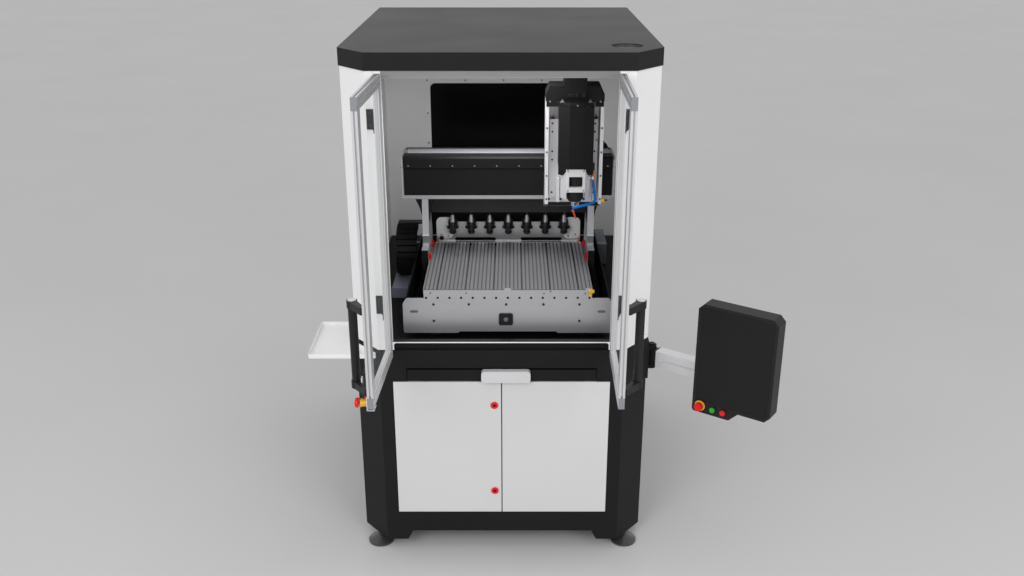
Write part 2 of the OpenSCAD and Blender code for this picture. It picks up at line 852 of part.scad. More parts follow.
module panel_outline() {
    c = 20;
    tab_w = panel_w * 0.6;
    z1 = panel_z + panel_h;
    z2 = panel_z - tab_h;
    polygon([[panel_x + 6, z2], [panel_x + tab_w - tab_h, z2], [panel_x + tab_w, panel_z],
        [panel_x + panel_w - c, panel_z], [panel_x + panel_w, panel_z + c], [panel_x + panel_w, z1 - c],
        [panel_x + panel_w - c, z1], [panel_x + c, z1], [panel_x, z1 - c], [panel_x, z2 + 8]]);
}

button_xs = [31, 83, 123];
button_z = panel_z - tab_h + 27;

module panel_housing() color(charcoal) arm_frame() difference() {
    union() {
        run_y([panel_y, panel_y + panel_t]) panel_outline();
        for (z = [arm_z - slide_gap - 10, arm_z + arm_h + slide_gap]) {
            box([arm_len - arm_t / 2, arm_len + arm_t / 2], [panel_y + panel_t - 1, 0], [z, z + 10]);
            rod_z(arm_t, [arm_len, 0], [z, z + 10]);
        }
        rod_z(arm_pin_d, [arm_len, 0], [arm_z - 5, arm_z + arm_h + 5]);
    }
    run_y([panel_y - 1, panel_y + screen_in])
        translate([panel_x + panel_w / 2, panel_z + panel_h / 2]) rounded_rect(panel_w - 24, panel_h - 24, 8);
    for (x = button_xs)
        rod_y(10 + run_clear, [panel_x + x, button_z], [panel_y - 1, panel_y + 20]);
}

module panel_screen() color("#101418") arm_frame() run_y([panel_y + 0.3, panel_y + screen_in])
    translate([panel_x + panel_w / 2, panel_z + panel_h / 2]) rounded_rect(panel_w - 25, panel_h - 25, 7.5);

// A push button on the panel's tab: its cap and its stem
module panel_button(x, d, h) {
    rod_y(d, [panel_x + x, button_z], [panel_y - 6 - h, panel_y - 6]);
    rod_y(10, [panel_x + x, button_z], [panel_y - 7, panel_y + 12]);
}

module panel_estop_head() color(red) arm_frame() panel_button(button_xs[0], 30, 14);

module panel_start_button() color("#14a032") arm_frame() panel_button(button_xs[1], 20, 6);

module panel_stop_button() color(red) arm_frame() panel_button(button_xs[2], 20, 6);

// Router bed

module at_bed() {
    translate([bed_x, 0, 0]) children();
}

module bed_frame() color(charcoal) at_bed() {
    y1 = bed_front + bed_len;
    difference() {
        box([-bed_half, bed_half], [bed_front, y1], [bed_z, bed_z + wall_h]);
        box([sheet - bed_half, bed_half - sheet], [bed_front - 1, y1 + 1], [bed_z + 6, big]);
    }
    both_sides()
        box([girder_half - girder_w, girder_half], [bed_front, y1], [bed_z + 5, beam_top_z]);
    for (y = [bed_front + 20, bed_front + table_len / 2, bed_front + table_len, rear_y - 20])
        box([-girder_half + 1, girder_half - 1], [y, y + 20], [bed_z + 5, beam_top_z]);
    difference() {
        box([-girder_half, girder_half], [rear_y, rear_y + 8], [bed_z + 5, table_z + 92]);
        run_y([rear_y - 1, rear_y + 9]) translate([20, table_z + 66]) rounded_rect(12, 26, 5.9);
    }
    for (x = [-girder_half, girder_half], y = [bed_front + 60, bed_front + bed_len - 60])
        rod_z(60, [x, y], [base_h, bed_z + 1]);
}

module bed_front_plate() color("#d2d2d6") at_bed() {
    low = bed_z - plate_drop;
    top = bed_z + wall_h - 3;
    raised = table_w / 2 - 2;
    difference() {
        run_y([bed_front - 3, bed_front]) union() {
            polygon(round_corners([[-plate_half, low], [plate_half, low], [plate_half, top - 22],
                [plate_half - 14, top], [14 - plate_half, top], [-plate_half, top - 22]], 9));
            translate([-raised, top - 1]) square([2 * raised, table_z - top - 3]);
            for (x = [0, raised - 12])
                translate([x - 12, table_z - 6]) square([24, 10]);
        }
        for (i = [-7 : 7])
            rod_y(9, [i * hole_pitch, top + 1], [bed_front - 4, bed_front + 1]);
        for (x = [-plate_slot_x, plate_slot_x])
            run_y([bed_front - 4, bed_front + 1])
                translate([x, low + 86]) rounded_rect(30, 10, 4.9);
        run_y([bed_front - 4, bed_front + 1]) polygon([[-186, low - 1], [186, low - 1], [178, low + 6],
            [-178, low + 6]]);
        run_y([bed_front - 4, bed_front + 1]) translate([-7, low + 53]) rounded_rect(42, 38, 9);
    }
    both_sides() box([plate_half - 3, plate_half], [bed_front - 1, bed_front + 22], [low + 12, top - 26]);
}

// Extruded planks with one T-slot each and shallow grooves between
module table_planks() color(table_grey) at_bed() for (i = [0 : planks - 1])
    translate([(i + 0.5) * plank_w - table_w / 2, 0, 0]) run_y([bed_front, bed_front + table_len])
    difference() {
        translate([(plank_gap - plank_w) / 2, beam_top_z]) square([plank_w - plank_gap, table_t]);
        for (k = [-3 : 3])
            translate([k * groove_pitch - groove_w / 2, table_z - 3]) square([groove_w, 4]);
        translate([-slot_w / 2, table_z - 9]) square([slot_w, 10]);
        translate([-slot_w, table_z - 14]) square([2 * slot_w, 6]);
    }

module y_rails() color("#b4b8bc") at_bed() both_sides()
    box([girder_half, girder_half + rail_out], [bed_front + 40, bed_front + bed_len - 10],
        [rail_z, rail_z + rail_w]);

// Tool rack

module tool_places() {
    for (i = [0 : tools - 1])
        translate([bed_x + (i - (tools - 1) / 2) * tool_pitch, tool_y, 0]) children();
}

module tool_rack() color("#e0e0e2") at_bed() {
    half = table_w / 2 - 10;
    ear = 70;
    difference() {
        run_y([rack_y, rack_y + 6]) {
            translate([-half, beam_top_z]) square([2 * half, 88]);
            for (s = [-1, 1])
                translate([s * (half - ear / 2), beam_top_z + 57]) rounded_rect(ear, 94, 22);
        }
        for (x = [-138, 138])
            run_y([rack_y - 1, rack_y + 7]) translate([x, beam_top_z + 13]) rounded_rect(172, 14, 6.9);
    }
    box([-half, half], [rack_y - 14, rack_y + 1], [beam_top_z, beam_top_z + 5]);
}

// A fork round the groove of each holder, on a rounded back plate
module tool_clips() color("#1e1e1e") tool_places() {
    back = rack_y - tool_y;
    fork = [flange_z + 3.2, flange_z + 6.8];
    difference() {
        union() {
            rod_z(flange_d + 10, [0, 0], fork);
            box([-12, 12], [0, back], fork);
        }
        rod_z(flange_d - 6, [0, 0], [flange_z, flange_z + 10]);
        box([-14, 14], [-flange_d, 0], [flange_z, flange_z + 10]);
        box([-flange_d, flange_d], [back, flange_d], [flange_z, flange_z + 10]);
    }
    difference() {
        run_y([back - 8, back]) translate([0, flange_z + 19]) rounded_rect(38, 44, 18);
        rod_z(flange_d + 2 * slide_gap, [0, 0], [flange_z - 4, flange_z + 11]);
    }
}

// Holders with a taper above the flange and a collet nut below
module tool_holders() color("#c2c4c8") tool_places() {
    r = flange_d / 2;
    translate([0, 0, flange_z]) rotate_extrude()
        polygon([[0, -24], [9, -24], [14, -20], [15, -12], [12, -10], [12, 0], [r, 0], [r, 3], [r - 3.4, 3],
            [r - 3.4, 7], [r, 7], [r, 10], [12.5, 10], [8, 57], [4, 57], [3, 60], [5, 63], [5, 66], [0, 66]]);
}

// Gantry

module gantry_uprights() color(silver) at_bed() both_sides() {
    y0 = beam_front - upright_fore;
    ledge = table_z + ledge_h;
    x1 = upright_x + upright_t;
    run_x([upright_x, x1])
        polygon([[y0, upright_foot], [y0, ledge], [y0 + 61, ledge], [y0 + 61, ledge + 42], [y0 + 80, beam_z],
            [y0 + 180, beam_z], [y0 + 220, ledge + 42], [y0 + upright_d, ledge],
            [y0 + upright_d, upright_foot]]);
    for (y = [y0 + 10, y0 + upright_d - 70])
        difference() {
            box([girder_half + 4, upright_x], [y, y + 60], [rail_z - 15, rail_z + rail_w + 15]);
            box([girder_half, girder_half + rail_out + slide_gap], [y - 1, y + 61],
                [rail_z - slide_gap, rail_z + rail_w + slide_gap]);
        }
}

// Flared brackets under the beam, the tie plate between the uprights and the chain's arm
module gantry_braces() color(charcoal) at_bed() {
    y0 = beam_front + 48;
    r = (pow(brace_out, 2) + pow(brace_h, 2)) / (2 * brace_out);
    both_sides() for (side = [[upright_x + upright_t, 1], [upright_x, -1]])
        run_y([y0, y0 + 70]) difference() {
            translate([side[0] + (side[1] < 0 ? -brace_out : 0), beam_z - brace_h])
                square([brace_out, brace_h]);
            translate([side[0] + side[1] * r, beam_z - brace_h]) circle(r, $fn = 96);
        }
    box([-upright_x, upright_x], [y0 + 74, y0 + 78], [beam_z - 97, beam_z]);
    box([-upright_x - upright_t - 15, -upright_x - upright_t], [y0 + 122, chain_y + 45],
        [chain_z + 2 * chain_r, chain_z + 2 * chain_r + 6]);
    box([chain_x - bed_x + 4, -upright_x - upright_t - 14], [chain_y + 5, chain_y + 45],
        [chain_z + 2 * chain_r, chain_z + 2 * chain_r + 6]);
}

// Box beam with its end plates and the two guide rails of the saddle
module gantry_beam() color(silver) at_bed() {
    y0 = beam_front;
    y1 = beam_front + beam_d;
    z1 = beam_z + beam_h;
    run_x([6 - beam_half, beam_half - 6]) difference() {
        polygon([[y0, beam_z], [y1, beam_z], [y1, z1], [y0 + 20, z1], [y0, z1 - 20]]);
        translate([y0 + 12, beam_z + 12]) square([beam_d - 24, beam_h - 34]);
    }
    both_sides() run_x([beam_half - 6, beam_half])
        polygon([[y0 - 12, beam_z], [y1, beam_z], [y1, z1], [y0 - 5, z1], [y0 - 12, z1 - 7]]);
    box([20 - beam_half, beam_half - 20], [y0 + top_rail_in, y0 + top_rail_in + rail_w],
        [z1 - 1, z1 + rail_out]);
    box([20 - beam_half, beam_half - 20], [y0 + low_rail_in, y0 + low_rail_in + rail_w],
        [beam_z - low_rail_h, beam_z + 1]);
}

module beam_cover() color(charcoal) at_bed() run_x([8 - beam_half, beam_half - 8]) {
    y = beam_front;
    z1 = beam_z + beam_h;
    polygon([[y, beam_z + cover_lap], [y - 5, beam_z + cover_lap], [y - 5, z1 - 47], [y - 10, z1 - 43],
        [y - 10, z1 - 5], [y - 4, z1 + 2], [y + 50, z1 + 2], [y + 50, z1], [y + 20, z1], [y, z1 - 20]]);
}

// Cable chain of the gantry: a flat run on its tray, a bend at the front and a short run back to the gantry

// The tray, and the service box that stands on the other side of the bed
module chain_tray() color("#3a3f48") {
    difference() {
        box([chain_x - 12, bed_x - bed_half - 1], [chain_y - tray_fore, bed_front + bed_len + tray_aft],
            [base_h, chain_z]);
        box([chain_x - 8, bed_x - bed_half - 5],
            [chain_y - tray_fore + 4, bed_front + bed_len + tray_aft - 4], [base_h - 1, chain_z - 10]);
    }
    box([bed_x + bed_half + 3, bed_x + bed_half + 3 + side_box_w], [beam_front + 474, beam_front + 674],
        [base_h, base_h + side_box_h]);
}

module cable_chain() color("#202022") {
    zc = chain_z + chain_r;
    run_x([chain_x, chain_x + chain_w]) difference() {
        union() {
            translate([chain_y, zc]) circle(chain_r, $fn = 72);
            translate([chain_y, chain_z]) square([chain_low, chain_t]);
            translate([chain_y, chain_z + 2 * chain_r - chain_t]) square([chain_high, chain_t]);
        }
        translate([chain_y, zc]) circle(chain_r - chain_t, $fn = 72);
        translate([chain_y, chain_z + chain_t]) square([big, 2 * (chain_r - chain_t)]);
    }
}

// Head: saddle on the beam, slide with the spindle

module at_head() {
    translate([head_c, 0, 0]) children();
}

module head_saddle() color(silver) at_head() {
    half = head_w / 2;
    z1 = beam_z + beam_h;
    rail_y = beam_front + top_rail_in;
    low_y = beam_front + low_rail_in;
    box([-half, half], [saddle_y, saddle_y + saddle_t], [beam_z - saddle_drop, head_top]);
    both_sides() box([half - side_t, half], [saddle_y - 78, saddle_y + 1], [head_z, head_top]);
    difference() {
        box([-half, half], [saddle_y, low_y + rail_w + 5], [beam_z - saddle_drop, beam_z - 4]);
        box([-big, big], [low_y - slide_gap, low_y + rail_w + slide_gap],
            [beam_z - low_rail_h - slide_gap, big]);
    }
    box([-80, 80], [saddle_y + saddle_t - 1, rail_y + rail_w + 12], [z1 + rail_out + slide_gap, z1 + 36]);
    difference() {
        box([-80, 80], [rail_y - 12, rail_y + rail_w + 12], [z1 + 3, z1 + 36]);
        box([-big, big], [rail_y - slide_gap, rail_y + rail_w + slide_gap], [z1, z1 + rail_out + slide_gap]);
    }
    both_sides() for (z = z_block_zs)
        difference() {
            box([z_rail_x - 8, z_rail_x + rail_w + 8], [saddle_y - 14.5, saddle_y + 1], [z, z + z_block_h]);
            box([z_rail_x - slide_gap, z_rail_x + rail_w + slide_gap],
                [saddle_y - 15, saddle_y - 6 + slide_gap], [z - 1, z + z_block_h + 1]);
        }
}

// Cover over the top of the head, with the motor housing
module head_cap() color("#242424") at_head() {
    half = head_w / 2;
    y0 = saddle_y - 83;
    run_y([y0, saddle_y + 18]) polygon([[-half, head_top], [half, head_top], [half, head_top + 25],
        [half - 14, head_top + 55], [14 - half, head_top + 55], [-half, head_top + 25]]);
    difference() {
        box([2 - half, half - 2], [y0, y0 + 4], [head_top - 20, head_top + 1]);
        box([spindle_x - cover_half - 3, spindle_x + cover_half + 3], [y0 - 1, y0 + 5],
            [head_top - 40, head_top - 2]);
    }
    box([-41, 42], [y0 - 6, saddle_y + 14], [head_top + 13, head_top + 100]);
}

module spindle_slide() color(silver) at_head() {
    y1 = slide_y + slide_t;
    top = cover_top - 62;
    box([-90, 90], [slide_y, y1], [nose_z - 10, top]);
    both_sides() box([z_rail_x, z_rail_x + rail_w], [y1 - 1, saddle_y - 6], [nose_z - 10, top]);
    translate([spindle_x, 0, 0]) difference() {
        translate([0, 0, nose_z + 6]) linear_extrude(clamp_h - 6)
            polygon([[-clamp_half, slide_y + 1], [-clamp_half, spindle_y - 14], [-34, spindle_y - 42],
                [34, spindle_y - 42], [clamp_half, spindle_y - 14], [clamp_half, slide_y + 1]]);
        rod_z(spindle_d, [0, spindle_y], [nose_z, nose_z + clamp_h + 1]);
        box([-35, 35], [spindle_y - big, spindle_y], [nose_z, nose_z + clamp_lip]);
        run_y([-big, spindle_y]) translate([0, nose_z + 73]) rounded_rect(50, 40, 2);
    }
}

// Three-sided cover over the spindle motor
module spindle_cover() color("#2a2a2a") at_head() translate([spindle_x, 0, 0]) {
    t = 3;
    x1 = cover_half;
    x0 = cover_nose;
    y0 = spindle_y - 46;
    difference() {
        translate([0, 0, cover_z]) linear_extrude(cover_top - cover_z)
            polygon([[-x1, slide_y], [-x1, spindle_y - 14], [-x0, y0], [x0, y0], [x1, spindle_y - 14],
                [x1, slide_y]]);
        translate([0, 0, cover_z - 1]) linear_extrude(cover_top - cover_z + 1 - t)
            polygon([[t - x1, slide_y + 1], [t - x1, spindle_y - 13], [t / 2 - x0, y0 + t],
                [x0 - t / 2, y0 + t], [x1 - t, spindle_y - 13], [x1 - t, slide_y + 1]]);
    }
}

module spindle_body() color("#1a1a1c") at_head() difference() {
    union() {
        rod_z(spindle_d, [spindle_x, spindle_y], [nose_z, cover_top - 40]);
        rod_z(spindle_d - 12, [spindle_x, spindle_y], [nose_z - 8, nose_z + 1]);
    }
    rod_z(shaft_d + run_clear, [spindle_x, spindle_y], [nose_z - 9, nose_z + 90]);
}

// The turning shaft with its collet nut
module spindle_collet() color("#c8cacd") at_head() difference() {
    union() {
        rod_z(shaft_d, [spindle_x, spindle_y], [nose_z - 20, nose_z + 80]);
        rod_z(34, [spindle_x, spindle_y], [nose_z - 28, nose_z - 8 - slide_gap]);
    }
    rod_z(8, [spindle_x, spindle_y], [nose_z - 29, nose_z + 6]);
    for (a = [0 : 60 : 300])
        translate([spindle_x, spindle_y, 0]) rotate([0, 0, a])
            box([15.5, 18], [-3, 3], [nose_z - 29, nose_z - 16]);
}

hose_steps = 30;
hose_legs = [
    [[69, 5, 80], [72, 2, 60], [82, -4, 20], [82.5, -6, -2]],
    [[82.5, -6, -2], [83, -8, -22], [40, -32, -16], [-4, -42, -27]]
];
hose_path = [
    for (leg = [0, 1], k = [leg : hose_steps])
        bezier(hose_legs[leg], k / hose_steps)
];

// A round tube along a path, beaded like a jointed hose
module beaded_tube(path, d, sides) {
    n = len(path);
    rings = [
        for (i = [0 : n - 1])
            let (t = unit(path[min(i + 1, n - 1)] - path[max(i - 1, 0)]))
            let (a = unit(cross(t, [0, 1, 0])), b = cross(t, a), r = d / 2 * (i % 3 == 1 ? 0.78 : 1))
            for (j = [0 : sides - 1])
                path[i] + r * (cos(360 * j / sides) * a + sin(360 * j / sides) * b)
    ];
    walls = [
        for (i = [0 : n - 2], j = [0 : sides - 1])
            let (k = (j + 1) % sides)
            [i * sides + j, (i + 1) * sides + j, (i + 1) * sides + k, i * sides + k]
    ];
    ends = [[for (j = [0 : sides - 1]) j], [for (j = [sides - 1 : -1 : 0]) (n - 1) * sides + j]];
    polyhedron(rings, concat(walls, ends), convexity = 6);
}

module hose_place() {
    translate([head_c, spindle_y, nose_z]) children();
}

module coolant_hose() color("#0a78c8") hose_place() {
    beaded_tube(hose_path, hose_d, 12);
    box([61, 80], [-3, 13], [77, 92]);
    box([61, 73], [10, slide_y - spindle_y], [78, 91]);
}

module hose_nozzle() color("#d23c1e") hose_place()
    translate([-4, -42, -27 - hose_d / 2]) rotate([0, 160, 0]) translate([0, 0, 1])
        rotate_extrude()
            polygon([[0, 0], [4.5, 0], [4.5, 8], [3.4, 12], [2.4, 38], [1.4, 38], [1.4, 8], [0, 8]]);

base_cabinet();
deck_plate();
levelling_feet();
cabinet_door_left();
cabinet_door_right();
lock_bezels();
lock_insert_upper();
lock_insert_lower();
drawer();
drawer_handle();
drawer_runners();
axis_drives();
hood_shell();
roof_cap();
roof_port_cover();
rear_window();
door_frame_left();
door_frame_right();
door_glass_left();
door_glass_right();
hinge_leaves_hood();
hinge_leaves_left();
hinge_leaves_right();
handle_left();
handle_right();
station_plate();
station_button();
station_lamp();
station_estop_base();
station_estop_head();
tray();
tray_bracket();
arm_bracket();
arm();
panel_housing();
panel_screen();
panel_estop_head();
panel_start_button();
panel_stop_button();
bed_frame();
bed_front_plate();
table_planks();
y_rails();
tool_rack();
tool_clips();
tool_holders();
gantry_uprights();
gantry_braces();
gantry_beam();
beam_cover();
chain_tray();
cable_chain();
head_saddle();
head_cap();
spindle_slide();
spindle_cover();
spindle_body();
spindle_collet();
coolant_hose();
hose_nozzle();
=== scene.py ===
"""Looks of an enclosed gantry machining centre.

Each sub-assembly class dresses its CAD nodes and models the fittings that the solids leave out: screws, caps,
gaskets, chain links and hose beads. Sizes in the classes are millimetres in the part's own frame.
"""

import logging
import math
from collections.abc import Callable, Iterable, Sequence
from dataclasses import dataclass
from enum import Enum

import bmesh
import bpy
from mathutils import Matrix, Vector


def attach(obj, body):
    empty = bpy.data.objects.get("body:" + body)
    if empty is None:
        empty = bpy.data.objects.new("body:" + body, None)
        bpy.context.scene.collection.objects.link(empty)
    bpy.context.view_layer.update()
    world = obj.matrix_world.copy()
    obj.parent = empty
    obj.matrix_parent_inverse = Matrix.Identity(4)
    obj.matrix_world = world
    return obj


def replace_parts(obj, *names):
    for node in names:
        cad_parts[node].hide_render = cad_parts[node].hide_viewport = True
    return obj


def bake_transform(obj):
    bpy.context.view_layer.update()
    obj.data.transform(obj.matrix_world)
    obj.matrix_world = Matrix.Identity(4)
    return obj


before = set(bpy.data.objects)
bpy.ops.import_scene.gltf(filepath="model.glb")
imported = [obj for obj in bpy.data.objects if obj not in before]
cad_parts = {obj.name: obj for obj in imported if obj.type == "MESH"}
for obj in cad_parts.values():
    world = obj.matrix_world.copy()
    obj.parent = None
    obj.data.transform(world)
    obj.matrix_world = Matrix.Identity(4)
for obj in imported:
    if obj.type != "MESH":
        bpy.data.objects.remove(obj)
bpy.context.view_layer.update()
LOG = logging.getLogger("machining_centre")
MM = 0.001
SIDES = (-1, 1)
UPWARD = (0.0, 0.0, 1.0)
BACKWARD = (0.0, 1.0, 0.0)
# How sharply one finish gives way to the next, per metre.
SHARP = 4000.0
# Depths of the bumps in the finishes, in metres.
PEEL_DEPTH, GRAIN_DEPTH, LINE_DEPTH = 0.0004, 0.0003, 0.0002
# Edges that turn by more than the first angle are bevelled; faces that meet below the second are smoothed.
BEVEL_FROM, SMOOTH_TO = math.radians(40), math.radians(35)
# A face looks along an axis if that part of its normal is above this.
FLAT = 0.99
# Heights of the screws in the front doors' hinges.
HINGE_SCREWS = [hinge + step for hinge in (1040, 1708) for step in (-20, 20)]
Colour = tuple[float, float, float]
Point = Sequence[float]


class Axis(Enum):
    """The direction in which a surface was rolled, drawn or brushed."""

    X = (0.03, 1.0, 1.0)
    Y = (1.0, 0.03, 1.0)
    Z = (1.0, 1.0, 0.03)


class Side(Enum):
    """The left or right front door, as seen by the operator."""

    LEFT = -1
    RIGHT = 1


class Screw(Enum):
    """The kinds of screw, each with the radius and the height of its head."""

    SMALL = (2.6, 1.4)
    COVER = (2.8, 1.2)
    DOT = (3.0, 1.4)
    CAP = (3.0, 1.6)
    CLAMP = (3.2, 2.2)
    SIDE = (3.4, 2.2)
    RAIL = (3.6, 2.4)
    HINGE = (4.0, 1.8)
    WINDOW = (4.5, 2.4)
    PLATE = (4.6, 2.6)
    FOOT = (4.6, 3.0)
    SERVICE = (5.0, 2.0)
    BRACKET = (5.0, 3.0)
    BEAM = (5.0, 4.0)


class Facing(Enum):
    """The way in which a turned piece points, as the turn of its Z axis."""

    UP = (0, 0, 0)
    DOWN = (math.pi, 0, 0)
    FRONT = (math.pi / 2, 0, 0)
    BACK = (-math.pi / 2, 0, 0)
    RIGHT = (0, math.pi / 2, 0)
    LEFT = (0, -math.pi / 2, 0)


class Wire:
    """A number that varies over a surface and takes part in ordinary arithmetic."""

    def __init__(self, paint: "Paint", socket: bpy.types.NodeSocket) -> None:
        """Wraps the output of a material's node."""
        self.paint = paint
        self.socket = socket

    def _math(self, operation: str, first: "Wire | float", second: "Wire | float") -> "Wire":
        """The result of one Math node on two operands."""
        sockets = {0: first, 1: second}
        return Wire(self.paint, self.paint.node("ShaderNodeMath", {"operation": operation}, sockets).outputs[0])

    def __add__(self, other: "Wire | float") -> "Wire":
        """The sum of two numbers."""
        return self._math("ADD", self, other)

    def __radd__(self, other: float) -> "Wire":
        """The sum with a plain number on the left."""
        return self._math("ADD", other, self)

    def __sub__(self, other: "Wire | float") -> "Wire":
        """The difference of two numbers."""
        return self._math("SUBTRACT", self, other)

    def __rsub__(self, other: float) -> "Wire":
        """The difference with a plain number on the left."""
        return self._math("SUBTRACT", other, self)

    def __mul__(self, other: "Wire | float") -> "Wire":
        """The product of two numbers."""
        return self._math("MULTIPLY", self, other)

    def __rmul__(self, other: float) -> "Wire":
        """The product with a plain number on the left."""
        return self._math("MULTIPLY", other, self)

    def limited(self) -> "Wire":
        """The number held between 0 and 1."""
        return Wire(self.paint, self.paint.node("ShaderNodeClamp", None, {0: self}).outputs[0])


class Paint:
    """The node tree of one material."""

    def __init__(self, name: str) -> None:
        """Starts a material.

        Args:
            name: The material's name.
        """
        self.material = bpy.data.materials.new(name)
        self.material.use_nodes = True
        self.tree = self.material.node_tree
        self.shader = self.tree.nodes["Principled BSDF"]
        self.space = self.node("ShaderNodeTexCoord").outputs["Object"]

    def node(self, kind: str, settings: dict | None = None, sockets: dict | None = None) -> bpy.types.Node:
        """Adds any node.

        Args:
            kind: Blender's type name of the node.
            settings: Attributes, set before the sockets.
            sockets: Values or links by input name or number.

        Returns:
            The node.
        """
        node = self.tree.nodes.new(kind)
        for key, value in (settings or {}).items():
            setattr(node, key, value)
        for key, value in (sockets or {}).items():
            self.feed(node.inputs[key], value)
        return node

    def feed(self, socket: bpy.types.NodeSocket, value: object) -> None:
        """Links or sets one input.

        Args:
            socket: The input.
            value: A wire, an output socket or a constant.
        """
        if isinstance(value, Wire):
            value = value.socket
        if isinstance(value, bpy.types.NodeSocket):
            self.tree.links.new(value, socket)
        else:
            socket.default_value = value

    def noise(self, scale: float, stretch: Point = (1, 1, 1), detail: float = 3.0) -> Wire:
        """Soft random variation.

        Args:
            scale: Features per metre.
            stretch: The factor of the scale along each axis.
            detail: Octaves of finer variation.

        Returns:
            A number about 0.5.
        """
        mapped = self.node("ShaderNodeMapping", None, {"Vector": self.space, "Scale": stretch}).outputs[0]
        sockets = {"Vector": mapped, "Scale": scale, "Detail": detail}
        return Wire(self, self.node("ShaderNodeTexNoise", None, sockets).outputs[0])

    def along(self, way: Point) -> Wire:
        """The distance of a point along a direction of length 1, in metres."""
        sockets = {0: self.space, 1: way}
        return Wire(self, self.node("ShaderNodeVectorMath", {"operation": "DOT_PRODUCT"}, sockets).outputs[1])

    def tint(self, factor: Wire, low: object, high: object) -> bpy.types.NodeSocket:
        """Mixes two colours.

        Args:
            factor: 0 for the first colour and 1 for the second.
            low: The first colour or its socket.
            high: The second colour or its socket.

        Returns:
            The mixed colour's socket.
        """
        ends = {6: low, 7: high}
        sockets = {k: (*v, 1.0) if isinstance(v, tuple) else v for k, v in ends.items()}
        return self.node("ShaderNodeMix", {"data_type": "RGBA"}, {0: factor.limited(), **sockets}).outputs[2]

    def relief(self, height: Wire, strength: float, distance: float) -> bpy.types.NodeSocket:
        """The normal of a bump with this strength and depth in metres."""
        sockets = {"Strength": strength, "Distance": distance, "Height": height}
        return self.node("ShaderNodeBump", None, sockets).outputs[0]

    def done(self, **inputs: object) -> bpy.types.Material:
        """Feeds the shader's inputs.

        Args:
            **inputs: Values by input name, with underscores for spaces.

        Returns:
            The material.
        """
        for name, value in inputs.items():
            self.feed(self.shader.inputs[name.replace("_", " ")], value)
        return self.material


def shaded(colour: Colour, factor: float) -> Colour:
    """A colour made lighter or darker."""
    return tuple(factor * c for c in colour)


@dataclass(frozen=True)
class PowderCoat:
    """Satin powder coat on sheet metal, with its fine orange peel and a little dust."""

    name: str
    colour: Colour
    dusty: Colour
    roughness: float = 0.42
    peel: float = 420.0
    gloss: float = 0.5

    def make(self) -> bpy.types.Material:
        """Builds the material.

        Returns:
            The material.
        """
        paint = Paint(self.name)
        peel = paint.noise(self.peel, detail=2.0)
        cloud = paint.noise(2.6, detail=4.0)
        speck = paint.noise(1900.0, detail=1.0)
        return paint.done(
            Base_Color=paint.tint(cloud * 0.9 + speck * 0.5 - 0.35, self.colour, self.dusty),
            Roughness=self.roughness - 0.07 + cloud * 0.12 + speck * 0.04,
            Normal=paint.relief(peel, 0.16, PEEL_DEPTH),
            Specular_IOR_Level=self.gloss,
        )


@dataclass(frozen=True)
class DrawnMetal:
    """Bare or anodised metal with fine lines along the way it was drawn."""

    name: str
    colour: Colour
    shade: Colour
    along: Axis
    roughness: float = 0.34
    metallic: float = 0.85
    lines: float = 520.0

    def make(self) -> bpy.types.Material:
        """Builds the material.

        Returns:
            The material.
        """
        paint = Paint(self.name)
        lines = paint.noise(self.lines, self.along.value, 2.0)
        broad = paint.noise(24.0, self.along.value, 3.0)
        cloud = paint.noise(5.0, detail=3.0)
        return paint.done(
            Base_Color=paint.tint(lines * 0.5 + broad * 0.5 + cloud * 0.3 - 0.15, self.colour, self.shade),
            Roughness=self.roughness - 0.08 + lines * 0.1 + cloud * 0.06,
            Metallic=self.metallic,
            Normal=paint.relief(lines, 0.12, LINE_DEPTH),
        )


@dataclass(frozen=True)
class Moulded:
    """Moulded plastic or rubber with a fine grain."""

    name: str
    colour: Colour
    shade: Colour
    roughness: float = 0.4
    grain: float = 700.0
    relief: float = 0.15
    coat: float = 0.0
    gloss: float = 0.5

    def make(self) -> bpy.types.Material:
        """Builds the material.

        Returns:
            The material.
        """
        paint = Paint(self.name)
        grain = paint.noise(self.grain, detail=2.0)
        cloud = paint.noise(30.0, detail=3.0)
        return paint.done(
            Base_Color=paint.tint(cloud * 0.8 + grain * 0.4 - 0.1, self.colour, self.shade),
            Roughness=self.roughness - 0.06 + cloud * 0.08 + grain * 0.05,
            Normal=paint.relief(grain, self.relief, GRAIN_DEPTH),
            Coat_Weight=self.coat,
            Coat_Roughness=0.15,
            Specular_IOR_Level=self.gloss,
        )


@dataclass(frozen=True)
class ClearPane:
    """Clear glazing with a trace of dust."""

    name: str
    colour: Colour = (0.80, 0.86, 0.87)
    dusty: Colour = (0.9, 0.93, 0.94)
    haze: float = 0.045

    def make(self) -> bpy.types.Material:
        """Builds the material.

        Returns:
            The material.
        """
        paint = Paint(self.name)
        dust = paint.noise(9.0, detail=5.0)
        speck = paint.noise(260.0, detail=2.0)
        return paint.done(
            Base_Color=paint.tint(speck, self.colour, self.dusty),
            Roughness=0.03 + dust * 0.08,
            Alpha=self.haze - 0.02 + dust * 0.03 + speck * 0.01,
            IOR=1.5,
        )


